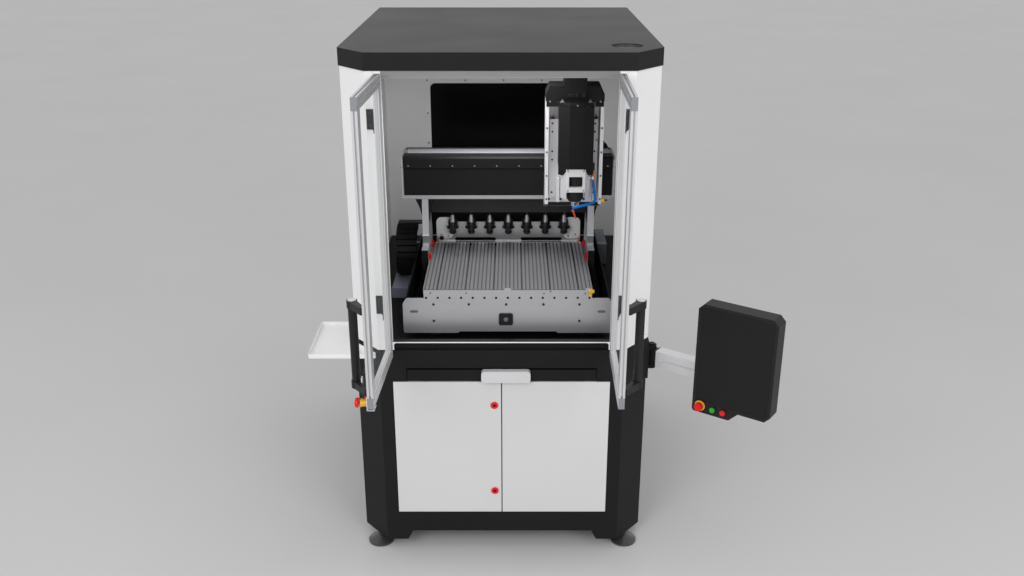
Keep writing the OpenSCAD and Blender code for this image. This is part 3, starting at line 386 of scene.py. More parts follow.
@dataclass(frozen=True)
class HolderSteel:
    """Tool holders: bright taper between a dark flange and a dark stud."""

    name: str
    bright: Colour
    worn: Colour
    dark: Colour
    flange: float
    stud: float

    def make(self) -> bpy.types.Material:
        """Builds the material.

        Returns:
            The material.
        """
        paint = Paint(self.name)
        turned = paint.noise(900.0, Axis.X.value, 2.0)
        height = paint.along(UPWARD)
        above = ((height - self.flange * MM) * SHARP).limited()
        below = ((self.stud * MM - height) * SHARP).limited()
        taper = above * below
        return paint.done(
            Base_Color=paint.tint(taper, self.dark, paint.tint(turned, self.bright, self.worn)),
            Roughness=0.44 - taper * 0.16 + turned * 0.08,
            Metallic=taper * 0.95,
            Normal=paint.relief(turned, 0.1, LINE_DEPTH),
        )


@dataclass(frozen=True)
class KnuckleMetal:
    """Metal with a dark sleeve or coat over the near end."""

    name: str
    bare: Colour
    sleeve: Colour
    along: Point
    reach: float
    gloss: float = 0.5

    def make(self) -> bpy.types.Material:
        """Builds the material.

        Returns:
            The material.
        """
        paint = Paint(self.name)
        lines = paint.noise(520.0, Axis.X.value, 2.0)
        grain = paint.noise(700.0, detail=2.0)
        near = ((self.reach * MM - paint.along(self.along)) * SHARP).limited()
        bare = paint.tint(lines, self.bare, shaded(self.bare, 0.88))
        dark = paint.tint(grain, self.sleeve, shaded(self.sleeve, 1.5))
        return paint.done(
            Base_Color=paint.tint(near, bare, dark),
            Roughness=0.38 + lines * 0.1 + near * 0.06,
            Metallic=0.3 - near * 0.3,
            Specular_IOR_Level=self.gloss,
            Normal=paint.relief(lines * 0.5 + grain * 0.5, 0.12, LINE_DEPTH),
        )


@dataclass(frozen=True)
class GroovedTable:
    """Extruded planks: milled ridges, painted shade in the grooves and a painted highlight on the planks' back ends."""

    name: str
    ridge: Colour
    # The groove colour is painted shade in the grooves; the edge colour is a painted highlight on the planks' back
    # ends.
    groove_shade: Colour
    edge: Colour
    top: float
    back: float
    groove_depth: float = 0.9
    groove_sharp: float = 2500.0
    # Width and sharpness of the painted highlight along the planks' back ends.
    end_highlight_width: float = 7.0
    end_highlight_sharp: float = 900.0

    def make(self) -> bpy.types.Material:
        """Builds the material.

        Returns:
            The material.
        """
        paint = Paint(self.name)
        lines = paint.noise(300.0, Axis.Y.value, 2.0)
        speck = paint.noise(480.0, detail=2.0)
        # Painted shade in the grooves, below the ridges' tops, and a painted highlight along the planks' back ends.
        low = (((self.top - self.groove_depth) * MM - paint.along(UPWARD)) * self.groove_sharp).limited()
        end = ((paint.along(BACKWARD) - (self.back - self.end_highlight_width) * MM) * self.end_highlight_sharp).limited()
        bare = paint.tint(lines * 0.6 + speck * 0.5 - 0.1, self.ridge, shaded(self.ridge, 0.72))
        return paint.done(
            Base_Color=paint.tint(low, paint.tint(end, bare, self.edge), self.groove_shade),
            Roughness=0.38 + lines * 0.1 + low * 0.15,
            Metallic=0.55 - low * 0.35,
            Normal=paint.relief(lines, 0.12, LINE_DEPTH),
        )


BLACK_COAT = PowderCoat("black_powder_coat", (0.0085, 0.0085, 0.0088), (0.013, 0.013, 0.0135), 0.5, gloss=0.14)
ROOF_COAT = PowderCoat("roof_powder_coat", (0.006, 0.006, 0.0062), (0.0095, 0.0095, 0.0099), 0.44, gloss=0.22)
# Painted light: the roof port cover's coat is made lighter than the roof's to offset the shade in its sunken dish.
PORT_PAINTED_LIGHT_COAT = PowderCoat("port_painted_light_coat", (0.07, 0.07, 0.072), (0.095, 0.095, 0.098), 0.42, gloss=0.4)
WHITE_COAT = PowderCoat("white_powder_coat", (0.87, 0.87, 0.87), (0.81, 0.81, 0.815), 0.46)
DOOR_COAT = PowderCoat("door_powder_coat", (0.64, 0.64, 0.645), (0.59, 0.59, 0.6), 0.46)
GREY_COAT = PowderCoat("grey_powder_coat", (0.11, 0.118, 0.13), (0.15, 0.155, 0.165), 0.45)
BED_COAT = PowderCoat("bed_powder_coat", (0.006, 0.006, 0.0062), (0.01, 0.01, 0.0104), 0.44, gloss=0.13)
TRAY_COAT = PowderCoat("chain_tray_coat", (0.21, 0.23, 0.29), (0.27, 0.29, 0.35), 0.4)
STILE_ALU = DrawnMetal("anodised_profile", (0.72, 0.72, 0.74), (0.61, 0.61, 0.63), Axis.Z, 0.4, 0.62)
ARM_ALU = KnuckleMetal("anodised_arm", (0.84, 0.84, 0.855), (0.009, 0.009, 0.0093), (0.8192, -0.5736, 0.0), 783.0)
TIE_PLATE = KnuckleMetal("tie_plate", (0.036, 0.036, 0.037), (0.0085, 0.0085, 0.0088), BACKWARD, -104.0, 0.14)
PLATE_ALU = DrawnMetal("brushed_plate", (0.54, 0.54, 0.56), (0.44, 0.44, 0.46), Axis.X, 0.38, 0.75)
HEAD_ALU = DrawnMetal("milled_plate", (0.78, 0.78, 0.8), (0.68, 0.68, 0.7), Axis.Z, 0.4, 0.55)
UPRIGHT_ALU = DrawnMetal("milled_upright", (0.56, 0.56, 0.58), (0.47, 0.47, 0.49), Axis.Z, 0.4, 0.7)
# The table's second colour is painted shade in its grooves and its third a painted highlight on the plank ends.
TABLE_ALU = GroovedTable("extruded_table", (0.38, 0.38, 0.4), (0.13, 0.13, 0.137), (0.8, 0.8, 0.81), 1062.0, -38.0)
RACK_ALU = DrawnMetal("satin_rack", (0.72, 0.72, 0.735), (0.6, 0.6, 0.615), Axis.X, 0.3, 0.75)
# Painted shade: a dull grey strip over the lintel, which lies in shade above the doors.
LINTEL_SHADE_STRIP = DrawnMetal("lintel_painted_shade", (0.27, 0.265, 0.26), (0.22, 0.217, 0.213), Axis.X, 0.45, 0.3)
RAIL_STEEL = DrawnMetal("ground_rail", (0.5, 0.52, 0.54), (0.38, 0.4, 0.42), Axis.Y, 0.24, 1.0)
ZINC = DrawnMetal("zinc_plate", (0.28, 0.29, 0.31), (0.2, 0.21, 0.22), Axis.Y, 0.4, 0.9, 260.0)
CHROME = DrawnMetal("plated_foot", (0.56, 0.57, 0.58), (0.42, 0.43, 0.44), Axis.X, 0.22, 1.0, 300.0)
SCREW_STEEL = DrawnMetal("screw_steel", (0.42, 0.42, 0.44), (0.25, 0.25, 0.27), Axis.Z, 0.3, 0.95)
DARK_SCREW = DrawnMetal("blackened_screw", (0.03, 0.03, 0.032), (0.05, 0.05, 0.053), Axis.Z, 0.38, 0.8)
COPPER = DrawnMetal("copper_pipe", (0.62, 0.28, 0.13), (0.5, 0.2, 0.09), Axis.Z, 0.34, 0.8)
HOLDER = HolderSteel("holder_steel", (0.7, 0.7, 0.72), (0.4, 0.41, 0.43), (0.012, 0.012, 0.0125), 1138.0, 1168.0)
PANE = ClearPane("door_glazing")
DARK_PANE = Moulded("dark_window", (0.0025, 0.0025, 0.0028), (0.004, 0.004, 0.0045), 0.2, 60.0, 0.02, gloss=0.1)
SCREEN = Moulded("screen_glass", (0.0105, 0.0105, 0.0108), (0.014, 0.014, 0.0145), 0.36, 900.0, 0.04, gloss=0.16)
# Painted shadow: the near-black strip along the top of the drawer's front.
DRAWER_SHADOW_BLACK = Moulded("drawer_shadow_black", (0.0015, 0.0015, 0.0016), (0.0025, 0.0025, 0.0026), 0.8, gloss=0.05)
SEAL = Moulded("pane_seal", (0.5, 0.5, 0.51), (0.44, 0.44, 0.45), 0.55, 500.0, 0.25)
BLACK_PLASTIC = Moulded("black_plastic", (0.009, 0.009, 0.0093), (0.014, 0.014, 0.0146), 0.46, gloss=0.22)
HANDLE_PLASTIC = Moulded("handle_plastic", (0.009, 0.009, 0.0094), (0.014, 0.014, 0.0148), 0.36, 900.0, 0.1, gloss=0.3)
CHAIN_PLASTIC = Moulded("chain_plastic", (0.007, 0.007, 0.0075), (0.011, 0.011, 0.0117), 0.5, 400.0, gloss=0.2)
PANEL_PLASTIC = Moulded("panel_housing", (0.012, 0.012, 0.0124), (0.016, 0.016, 0.0166), 0.44, 800.0, 0.2, gloss=0.2)
FOOT_BLACK = Moulded("foot_lacquer", (0.03, 0.03, 0.032), (0.045, 0.045, 0.048), 0.24, 300.0, 0.04, 0.3)
CAP_GREY = Moulded("cap_grey", (0.2, 0.215, 0.235), (0.26, 0.27, 0.29), 0.4)
WHITE_PLASTIC = Moulded("white_plastic", (0.64, 0.64, 0.65), (0.58, 0.58, 0.59), 0.34, 300.0, 0.05, 0.2)
RED_PLASTIC = Moulded("red_plastic", (0.8, 0.005, 0.007), (0.7, 0.004, 0.006), 0.36, 400.0, 0.05, 0.1, 0.3)
DEEP_RED = Moulded("deep_red_plastic", (0.5, 0.004, 0.005), (0.4, 0.003, 0.004), 0.42, 400.0, 0.05, gloss=0.3)
YELLOW_PLASTIC = Moulded("yellow_plastic", (0.78, 0.42, 0.006), (0.68, 0.36, 0.005), 0.34, 400.0, 0.05, 0.2)
GREEN_PLASTIC = Moulded("green_plastic", (0.008, 0.36, 0.03), (0.006, 0.3, 0.025), 0.3, 400.0, 0.05, 0.3)
BLUE_PLASTIC = Moulded("blue_hose", (0.001, 0.19, 0.58), (0.001, 0.155, 0.5), 0.42, 500.0, 0.08, gloss=0.2)
ORANGE_PLASTIC = Moulded("orange_plastic", (0.95, 0.21, 0.006), (0.85, 0.18, 0.005), 0.4, 400.0, 0.06, gloss=0.3)
NOZZLE_PLASTIC = Moulded("nozzle_plastic", (0.66, 0.055, 0.014), (0.56, 0.045, 0.011), 0.36, 400.0, 0.06, 0.2)
Finish = PowderCoat | DrawnMetal | Moulded | ClearPane | HolderSteel | KnuckleMetal | GroovedTable


class Wardrobe:
    """Makes each finish once and puts it on nodes and pieces."""

    def __init__(self) -> None:
        """Starts with no material made."""
        self.made: dict[str, bpy.types.Material] = {}

    def put(self, obj: bpy.types.Object, finish: Finish) -> None:
        """Gives an object one finish.

        Args:
            obj: The CAD node or new piece.
            finish: What it is made of.
        """
        if finish.name not in self.made:
            self.made[finish.name] = finish.make()
        obj.data.materials.clear()
        obj.data.materials.append(self.made[finish.name])

    def dress(self, finish: Finish, *nodes: str) -> None:
        """Gives CAD nodes one finish.

        Args:
            finish: What they are made of.
            *nodes: Their names.
        """
        for name in nodes:
            self.put(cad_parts[name], finish)
            LOG.info("dressed %s in %s", name, finish.name)


WARDROBE = Wardrobe()


class Bench:
    """Models pieces with Blender's own tools. Sizes are millimetres."""

    @staticmethod
    def only(*objs: bpy.types.Object) -> None:
        """Selects these objects and nothing else.

        Args:
            *objs: The objects; the first becomes active.
        """
        bpy.ops.object.select_all(action="DESELECT")
        for obj in objs:
            obj.select_set(True)
        if objs:
            bpy.context.view_layer.objects.active = objs[0]

    @staticmethod
    def pick(obj: bpy.types.Object, test: Callable[[Vector], bool]) -> None:
        """Selects faces in edit mode.

        Args:
            obj: The object being edited.
            test: Takes a face's normal and says whether the face is picked.
        """
        bpy.ops.mesh.select_mode(type="FACE")
        shell = bmesh.from_edit_mesh(obj.data)
        for face in shell.faces:
            face.select_set(test(face.normal))
        bmesh.update_edit_mesh(obj.data)

    def block(self, name: str, low: Point, high: Point, edge: float = 0.6, steps: int = 2) -> bpy.types.Object:
        """A block with bevelled edges.

        Args:
            name: Its name.
            low: Its lowest corner.
            high: Its highest corner.
            edge: The width of the bevel, if any.
            steps: The chords of the bevel.

        Returns:
            The block.
        """
        self.only()
        bpy.ops.mesh.primitive_cube_add(size=1)
        obj = bpy.context.object
        obj.name = name
        bpy.ops.object.mode_set(mode="EDIT")
        bpy.ops.transform.resize(value=[(h - l) * MM for l, h in zip(low, high)])
        if edge > 0:
            bpy.ops.mesh.bevel(offset=edge * MM, segments=steps, affect="EDGES", clamp_overlap=True)
        bpy.ops.transform.translate(value=[(h + l) / 2 * MM for l, h in zip(low, high)])
        bpy.ops.object.mode_set(mode="OBJECT")
        return obj

    def ring_plate(self, name: str, low: Point, high: Point, rim: float) -> bpy.types.Object:
        """A flat frame with an opening along Y.

        Args:
            name: Its name.
            low: Its lowest corner.
            high: Its highest corner.
            rim: The width of its members.

        Returns:
            The frame.
        """
        obj = self.block(name, low, high, 0.0)
        bpy.ops.object.mode_set(mode="EDIT")
        self.pick(obj, lambda n: abs(n.y) > FLAT)
        bpy.ops.mesh.inset(thickness=rim * MM)
        bpy.ops.mesh.bridge_edge_loops()
        return self.close(obj, 0.5)

    def turned(self, name: str, radius: float, moves: Sequence[float], sides: int = 28,
               edge: float = 0.4) -> bpy.types.Object:
        """A turned piece that stands on the origin along Z.

        Args:
            name: Its name.
            radius: The radius of its foot.
            moves: Moves of the top face: up, in, up, in and so on. A move below 0 goes down or out.
            sides: Facets round it.
            edge: The bevel of its rims.

        Returns:
            The piece.
        """
        self.only()
        bpy.ops.mesh.primitive_circle_add(radius=radius * MM, vertices=sides, fill_type="NGON")
        obj = bpy.context.object
        obj.name = name
        bpy.ops.object.mode_set(mode="EDIT")
        bpy.ops.mesh.select_all(action="SELECT")
        for n, size in enumerate(moves):
            if n % 2:
                bpy.ops.mesh.inset(thickness=abs(size) * MM, use_outset=size < 0)
            else:
                bpy.ops.mesh.extrude_region_move(TRANSFORM_OT_translate={"value": (0, 0, size * MM)})
        return self.close(obj, edge)

    def cap_screw(self, radius: float, height: float) -> bpy.types.Object:
        """A socket head screw that stands on the origin along Z."""
        return self.turned("screw", radius, (height, radius * 0.45, -height * 0.55), 18, radius * 0.12)

    def ring(self, name: str, radius: float, hole: float, height: float) -> bpy.types.Object:
        """A flat ring, recessed within the radius of its hole, that stands on the origin along Z."""
        return self.turned(name, radius, (height, radius - hole, -height * 0.6), 36)

    def close(self, obj: bpy.types.Object, edge: float) -> bpy.types.Object:
        """Ends edit mode with all faces outwards and the edges softened.

        Args:
            obj: The piece being edited.
            edge: The width of the bevel.

        Returns:
            The piece.
        """
        bpy.ops.mesh.select_all(action="SELECT")
        bpy.ops.mesh.normals_make_consistent(inside=False)
        bpy.ops.object.mode_set(mode="OBJECT")
        self.soften(obj, edge)
        return obj

    def soften(self, obj: bpy.types.Object, edge: float) -> None:
        """Bevels the sharp edges of a piece and smooths its round faces.

        Args:
            obj: The piece.
            edge: The width of the bevel, if any.
        """
        self.only(obj)
        if edge > 0:
            bevel = obj.modifiers.new("edges", "BEVEL")
            bevel.width, bevel.segments = edge * MM, 2
            bevel.limit_method, bevel.angle_limit = "ANGLE", BEVEL_FROM
            bpy.ops.object.modifier_apply(modifier=bevel.name)
        bpy.ops.object.shade_smooth_by_angle(angle=SMOOTH_TO)

    def recess(self, obj: bpy.types.Object, test: Callable[[Vector], bool], rim: float, depth: float) -> None:
        """Sinks faces of a piece within a rim.

        Args:
            obj: The piece.
            test: Takes a face's normal and says whether the face is sunk.
            rim: The width of the rim.
            depth: How far the faces go in.
        """
        self.only(obj)
        bpy.ops.object.mode_set(mode="EDIT")
        self.pick(obj, test)
        bpy.ops.mesh.inset(thickness=rim * MM, use_individual=True)
        bpy.ops.mesh.extrude_faces_move(TRANSFORM_OT_shrink_fatten={"value": -depth * MM})
        bpy.ops.object.mode_set(mode="OBJECT")

    def cut(self, obj: bpy.types.Object, point: Point, outward: Point) -> None:
        """Cuts away what lies beyond a plane.

        Args:
            obj: The piece.
            point: A point of the plane.
            outward: The plane's normal, on the side that goes.
        """
        self.only(obj)
        bpy.ops.object.mode_set(mode="EDIT")
        bpy.ops.mesh.select_all(action="SELECT")
        bpy.ops.mesh.bisect(plane_co=Vector(point) * MM, plane_no=outward, use_fill=True, clear_outer=True)
        bpy.ops.object.mode_set(mode="OBJECT")

    def settle(self, obj: bpy.types.Object, place: Matrix) -> bpy.types.Object:
        """Puts a piece in its place and writes the place into its mesh.

        Args:
            obj: The piece, modelled about the origin.
            place: Where it goes, in metres.

        Returns:
            The piece.
        """
        self.only(obj)
        obj.matrix_world = place
        bpy.ops.object.transform_apply(location=True, rotation=True, scale=True)
        return obj

    def repeat(self, model: bpy.types.Object, name: str, places: Iterable[Matrix]) -> bpy.types.Object:
        """Copies a model to each place and joins the copies.

        Args:
            model: What repeats; it is used up.
            name: The name of the joined piece.
            places: Where the copies go, in metres.

        Returns:
            The joined piece.
        """
        copies = []
        for place in places:
            copy = model.copy()
            copy.data = model.data.copy()
            bpy.context.scene.collection.objects.link(copy)
            copy.matrix_world = place
            copies.append(copy)
        bpy.data.objects.remove(model)
        return self.join(name, copies)

    def join(self, name: str, objs: Sequence[bpy.types.Object]) -> bpy.types.Object:
        """Joins pieces into one at the origin.

        Args:
            name: The name of the joined piece.
            objs: The pieces.

        Returns:
            The joined piece.
        """
        self.only(*objs)
        bpy.ops.object.transform_apply(location=True, rotation=True, scale=True)
        if len(objs) > 1:
            bpy.ops.object.join()
        joined = bpy.context.view_layer.objects.active
        joined.name = name
        return joined


BENCH = Bench()


def at(point: Point, facing: Facing = Facing.UP) -> Matrix:
    """The place of a piece.

    Args:
        point: Its foot, in millimetres.
        facing: The way in which it points.

    Returns:
        The place, in metres.
    """
    x, y, z = facing.value
    turn = Matrix.Rotation(z, 4, "Z") @ Matrix.Rotation(y, 4, "Y") @ Matrix.Rotation(x, 4, "X")
    return Matrix.Translation(Vector(point) * MM) @ turn


def pair(middle: float, reach: float, y: float, z: float, facing: Facing = Facing.UP) -> list[Matrix]:
    """Two places, left and right of a middle by the same reach."""
    return [at((middle + s * reach, y, z), facing) for s in SIDES]


def fit(obj: bpy.types.Object, body: str, finish: Finish) -> bpy.types.Object:
    """Finishes a piece and lets it ride on a body.

    Args:
        obj: The piece in its place.
        body: The body that carries it.
        finish: What it is made of.

    Returns:
        The piece.
    """
    WARDROBE.put(obj, finish)
    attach(obj, body)
    LOG.info("made %s on %s", obj.name, body)
    return obj


def seat(obj: bpy.types.Object, place: Matrix, body: str, finish: Finish) -> None:
    """Puts a piece in its place and fits it to a body."""
    fit(BENCH.settle(obj, place), body, finish)


def spread(model: bpy.types.Object, name: str, places: Iterable[Matrix], body: str, finish: Finish) -> bpy.types.Object:
    """Copies a model to its places and fits the joined copies to a body."""
    return fit(BENCH.repeat(model, name, places), body, finish)


def screw_set(name: str, kind: Screw, places: Iterable[Matrix], body: str, finish: Finish = SCREW_STEEL) -> None:
    """Models screws of one kind at their places."""
    spread(BENCH.cap_screw(*kind.value), name, places, body, finish)


@dataclass
class Cabinet:
    """The base with its feet, lower doors, drawer and rear service panel."""

    back: float = 656.0
    service_low: float = 150.0
    service_high: float = 800.0
    service_half: float = 380.0
    service_thick: float = 1.8
    screw_inset: float = 15.0
    louvre_x: float = 200.0
    louvre_low: float = 240.0
    louvre_pitch: float = 26.0
    louvre_rows: int = 9
    drawer_top: float = 786.5
    drawer_half: float = 346.0

    def dress(self) -> None:
        """Puts the finishes on the CAD nodes."""
        WARDROBE.dress(BLACK_COAT, "base_cabinet", "drawer")
        WARDROBE.dress(BED_COAT, "deck_plate")
        WARDROBE.dress(FOOT_BLACK, "levelling_feet")
        WARDROBE.dress(DOOR_COAT, "cabinet_door_left", "cabinet_door_right")
        WARDROBE.dress(RED_PLASTIC, "lock_bezels")
        WARDROBE.dress(BLACK_PLASTIC, "lock_insert_upper", "lock_insert_lower")
        WARDROBE.dress(WHITE_PLASTIC, "drawer_handle")
        WARDROBE.dress(ZINC, "drawer_runners")
        WARDROBE.dress(GREY_COAT, "axis_drives")

    def service_panel(self) -> None:
        """Models the rear service panel with its louvres and screws."""
        half, outside = self.service_half, self.back + self.service_thick
        low, high = (-half, self.back, self.service_low), (half, outside, self.service_high)
        fit(BENCH.block("service_panel", low, high, 0.5), "cabinet", BLACK_COAT)
        rib = BENCH.block("louvre", (-90, -1.8, -6), (90, 1.8, 6), 1.7, 3)
        heights = [self.louvre_low + self.louvre_pitch * k for k in range(self.louvre_rows)]
        places = [at((s * self.louvre_x, outside - 0.1, z)) for s in SIDES for z in heights]
        spread(rib, "louvres", places, "cabinet", BLACK_COAT)
        edge, middle = half - self.screw_inset, (self.service_low + self.service_high) / 2
        heights = (self.service_low + self.screw_inset, middle, self.service_high - self.screw_inset)
        spots = [(x, z) for x in (-edge, 0, edge) for z in heights if (x, z) != (0, middle)]
        places = [at((x, outside - 0.2, z), Facing.BACK) for x, z in spots]
        screw_set("service_screws", Screw.SERVICE, places, "cabinet")

    def drawer_shadow_strip(self) -> None:
        """Models a near-black strip along the top of the drawer's front: painted shadow cast by the band above."""
        half, top = self.drawer_half, self.drawer_top
        # The strip paints the shadow that the band above casts on the drawer's front.
        strip = BENCH.block("drawer_shadow_strip", (-half, -653.6, top - 7), (half, -652.9, top - 0.3), 0.25)
        fit(strip, "tool_drawer", DRAWER_SHADOW_BLACK)

    def build(self) -> None:
        """Dresses the nodes and models the fittings."""
        self.dress()
        self.service_panel()
        self.drawer_shadow_strip()


@dataclass
class Hood:
    """The chamber's walls, roof and rear window."""

    wall_inside: float = 652.0
    window_half: float = 336.0
    window_low: float = 1040.0
    window_high: float = 1594.0
    rim: float = 26.0
    frame_thick: float = 2.5
    side_screws: tuple[float, ...] = (1178.0, 1317.0, 1456.0)
    hinge_x: float = 433.6
    hinge_face: float = -660.9
    mouth_half: float = 394.0
    mouth_low: float = 893.0
    mouth_high: float = 1845.0

    def dress(self) -> None:
        """Puts the finishes on the CAD nodes."""
        WARDROBE.dress(WHITE_COAT, "hood_shell")
        WARDROBE.dress(ROOF_COAT, "roof_cap")
        # The port cover's lighter coat is painted light against the shade of its dish.
        WARDROBE.dress(PORT_PAINTED_LIGHT_COAT, "roof_port_cover")
        WARDROBE.dress(DARK_PANE, "rear_window")
        WARDROBE.dress(BED_COAT, "hinge_leaves_hood")

    def window_frame(self) -> None:
        """Models the frame inside the rear window and its screws."""
        half, y = self.window_half + self.rim, self.wall_inside
        low = (-half, y - self.frame_thick, self.window_low - self.rim)
        high = (half, y, self.window_high + self.rim)
        fit(BENCH.ring_plate("window_frame", low, high, self.rim), "cabinet", WHITE_COAT)
        edge, spots = half - self.rim / 2, []
        for z in (self.window_low - self.rim / 2, self.window_high + self.rim / 2):
            spots += [(x * edge, z) for x in (-1, -0.5, 0, 0.5, 1)]
        spots += [(s * edge, z) for z in self.side_screws for s in SIDES]
        places = [at((x, y - self.frame_thick + 0.1, z), Facing.FRONT) for x, z in spots]
        screw_set("window_screws", Screw.WINDOW, places, "cabinet")

    def hinge_screws(self) -> None:
        """Models the screws of the fixed hinge leaves."""
        places = [at((s * self.hinge_x, self.hinge_face, z), Facing.FRONT) for s in SIDES for z in HINGE_SCREWS]
        screw_set("hinge_screws_hood", Screw.HINGE, places, "cabinet", DARK_SCREW)

    def strips(self) -> None:
        """Models the gasket on the sill, a grey strip that paints shade on the lintel, and the splash panel under the
        window.
        """
        half, low, high, y = self.mouth_half, self.mouth_low, self.mouth_high, self.wall_inside
        gasket = BENCH.block("sill_gasket", (-half, -655.4, low - 0.1), (half, -631.2, low + 1.4), 0.7)
        fit(gasket, "cabinet", BLACK_PLASTIC)
        # A grey strip over the lintel's front paints the shade there.
        trim = BENCH.block("lintel_painted_shade", (-half, -656.8, high + 0.5), (half, -655.9, high + 22), 0.3)
        fit(trim, "cabinet", LINTEL_SHADE_STRIP)
        splash = BENCH.block("splash_panel", (-358, y - 2.5, 866), (402, y + 0.1, 1012), 0.8)
        fit(splash, "cabinet", BED_COAT)

    def build(self) -> None:
        """Dresses the nodes and models the fittings."""
        self.dress()
        self.window_frame()
        self.hinge_screws()
        self.strips()


@dataclass
class FrontDoor:
    """One glazed front door. Places on it are given as for a closed leaf, about its hinge axis."""

    side: Side
    open_angle: float
    hinge_x: float = 415.0
    hinge_y: float = -685.0
    near: float = 5.0
    leaf: float = 405.0
    profile: float = 40.0
    thick: float = 20.0
    low: float = 853.0
    high: float = 1865.0
    cap: float = 3.0
    seal: float = 2.4
    seal_gap: float = 0.2
    grip: tuple[float, float] = (340.0, -40.0)
    grip_low: float = 899.2
    grip_high: float = 1206.8

    @property
    def name(self) -> str:
        """The word for this side in node and piece names."""
        return self.side.name.lower()

    @property
    def body(self) -> str:
        """The body that the door's pieces ride on."""
        return f"{self.name}_door"

    @property
    def middle_y(self) -> float:
        """The middle of the profile's thickness."""
        return self.near + self.thick / 2

    def leaf_frame(self) -> Matrix:
        """The place of the open leaf, in metres."""
        hinge = Matrix.Translation(Vector((self.side.value * self.hinge_x, self.hinge_y, 0)) * MM)
        return hinge @ Matrix.Rotation(math.radians(self.side.value * self.open_angle), 4, "Z")

    def on_leaf(self, point: Point, facing: Facing = Facing.UP) -> Matrix:
        """The place of a fitting on the open leaf, from its foot on the closed leaf with x away from the hinge."""
        x, y, z = point
        return self.leaf_frame() @ at((-self.side.value * x, y, z), facing)

    def dress(self) -> None:
        """Puts the finishes on the CAD nodes."""
        WARDROBE.dress(STILE_ALU, f"door_frame_{self.name}")
        WARDROBE.dress(PANE, f"door_glass_{self.name}")
        WARDROBE.dress(BED_COAT, f"hinge_leaves_{self.name}")
        WARDROBE.dress(HANDLE_PLASTIC, f"handle_{self.name}")

    def end_caps(self) -> None:
        """Models the plastic caps on the ends of the rails."""
        corner = (self.cap / 2, self.thick / 2 - 0.1, self.profile / 2 - 0.1)
        cap = BENCH.block("cap", [-c for c in corner], corner, 0.8)
        xs = (self.near + self.cap / 2, self.near + self.leaf - self.cap / 2)
        zs = (self.low + self.profile / 2, self.high - self.profile / 2)
        places = [self.on_leaf((x, self.middle_y, z)) for x in xs for z in zs]
        spread(cap, f"rail_caps_{self.name}", places, self.body, CAP_GREY)

    def gasket(self) -> None:
        """Models the rubber strip round the pane."""
        half = self.leaf / 2 - self.profile - self.seal_gap
        tall = (self.high - self.low) / 2 - self.profile - self.seal_gap
        strip = BENCH.ring_plate(f"pane_gasket_{self.name}", (-half, -5, -tall), (half, 5, tall), self.seal)
        centre = (self.near + self.leaf / 2, self.middle_y, (self.low + self.high) / 2)
        seat(strip, self.on_leaf(centre), self.body, SEAL)

    def handle_ends(self) -> None:
        """Models the discs that close the handle tube."""
        disc = BENCH.turned("disc", 14.2, (2.4, 3.0, -0.8, 5.5, 0.8), 32, 0.3)
        places = [self.on_leaf((*self.grip, self.grip_high)), self.on_leaf((*self.grip, self.grip_low), Facing.DOWN)]
        spread(disc, f"handle_ends_{self.name}", places, self.body, WHITE_PLASTIC)

    def screws(self) -> None:
        """Models the screws of the moving hinge leaves."""
        places = [self.on_leaf((23, 0.1, z), Facing.FRONT) for z in HINGE_SCREWS]
        screw_set(f"hinge_screws_{self.name}", Screw.HINGE, places, self.body, DARK_SCREW)

    def build(self) -> None:
        """Dresses the nodes and models the fittings."""
        self.dress()
        self.end_caps()
        self.gasket()
        self.handle_ends()
        self.screws()


@dataclass
class Station:
    """The operator station at the foot of the left door."""

    door: FrontDoor

    def build(self) -> None:
        """Dresses the nodes and models the plate's screws."""
        WARDROBE.dress(STILE_ALU, "station_plate")
        WARDROBE.dress(WHITE_PLASTIC, "station_button")
        WARDROBE.dress(RED_PLASTIC, "station_lamp", "station_estop_head")
        WARDROBE.dress(YELLOW_PLASTIC, "station_estop_base")
        places = [self.door.on_leaf((x, 2.1, 892), Facing.FRONT) for x in (377, 405)]
        screw_set("station_screws", Screw.SMALL, places, self.door.body)


@dataclass
class SideTray:
    """The tray at the left with its gussets."""

    flange: float = -549.9

    def build(self) -> None:
        """Dresses the nodes and models the flange screws."""
        WARDROBE.dress(WHITE_COAT, "tray")
        WARDROBE.dress(ZINC, "tray_bracket")
        places = [at((self.flange, y, z), Facing.LEFT) for y in (-470, -415) for z in (760, 803)]
        screw_set("bracket_screws", Screw.BRACKET, places, "cabinet")


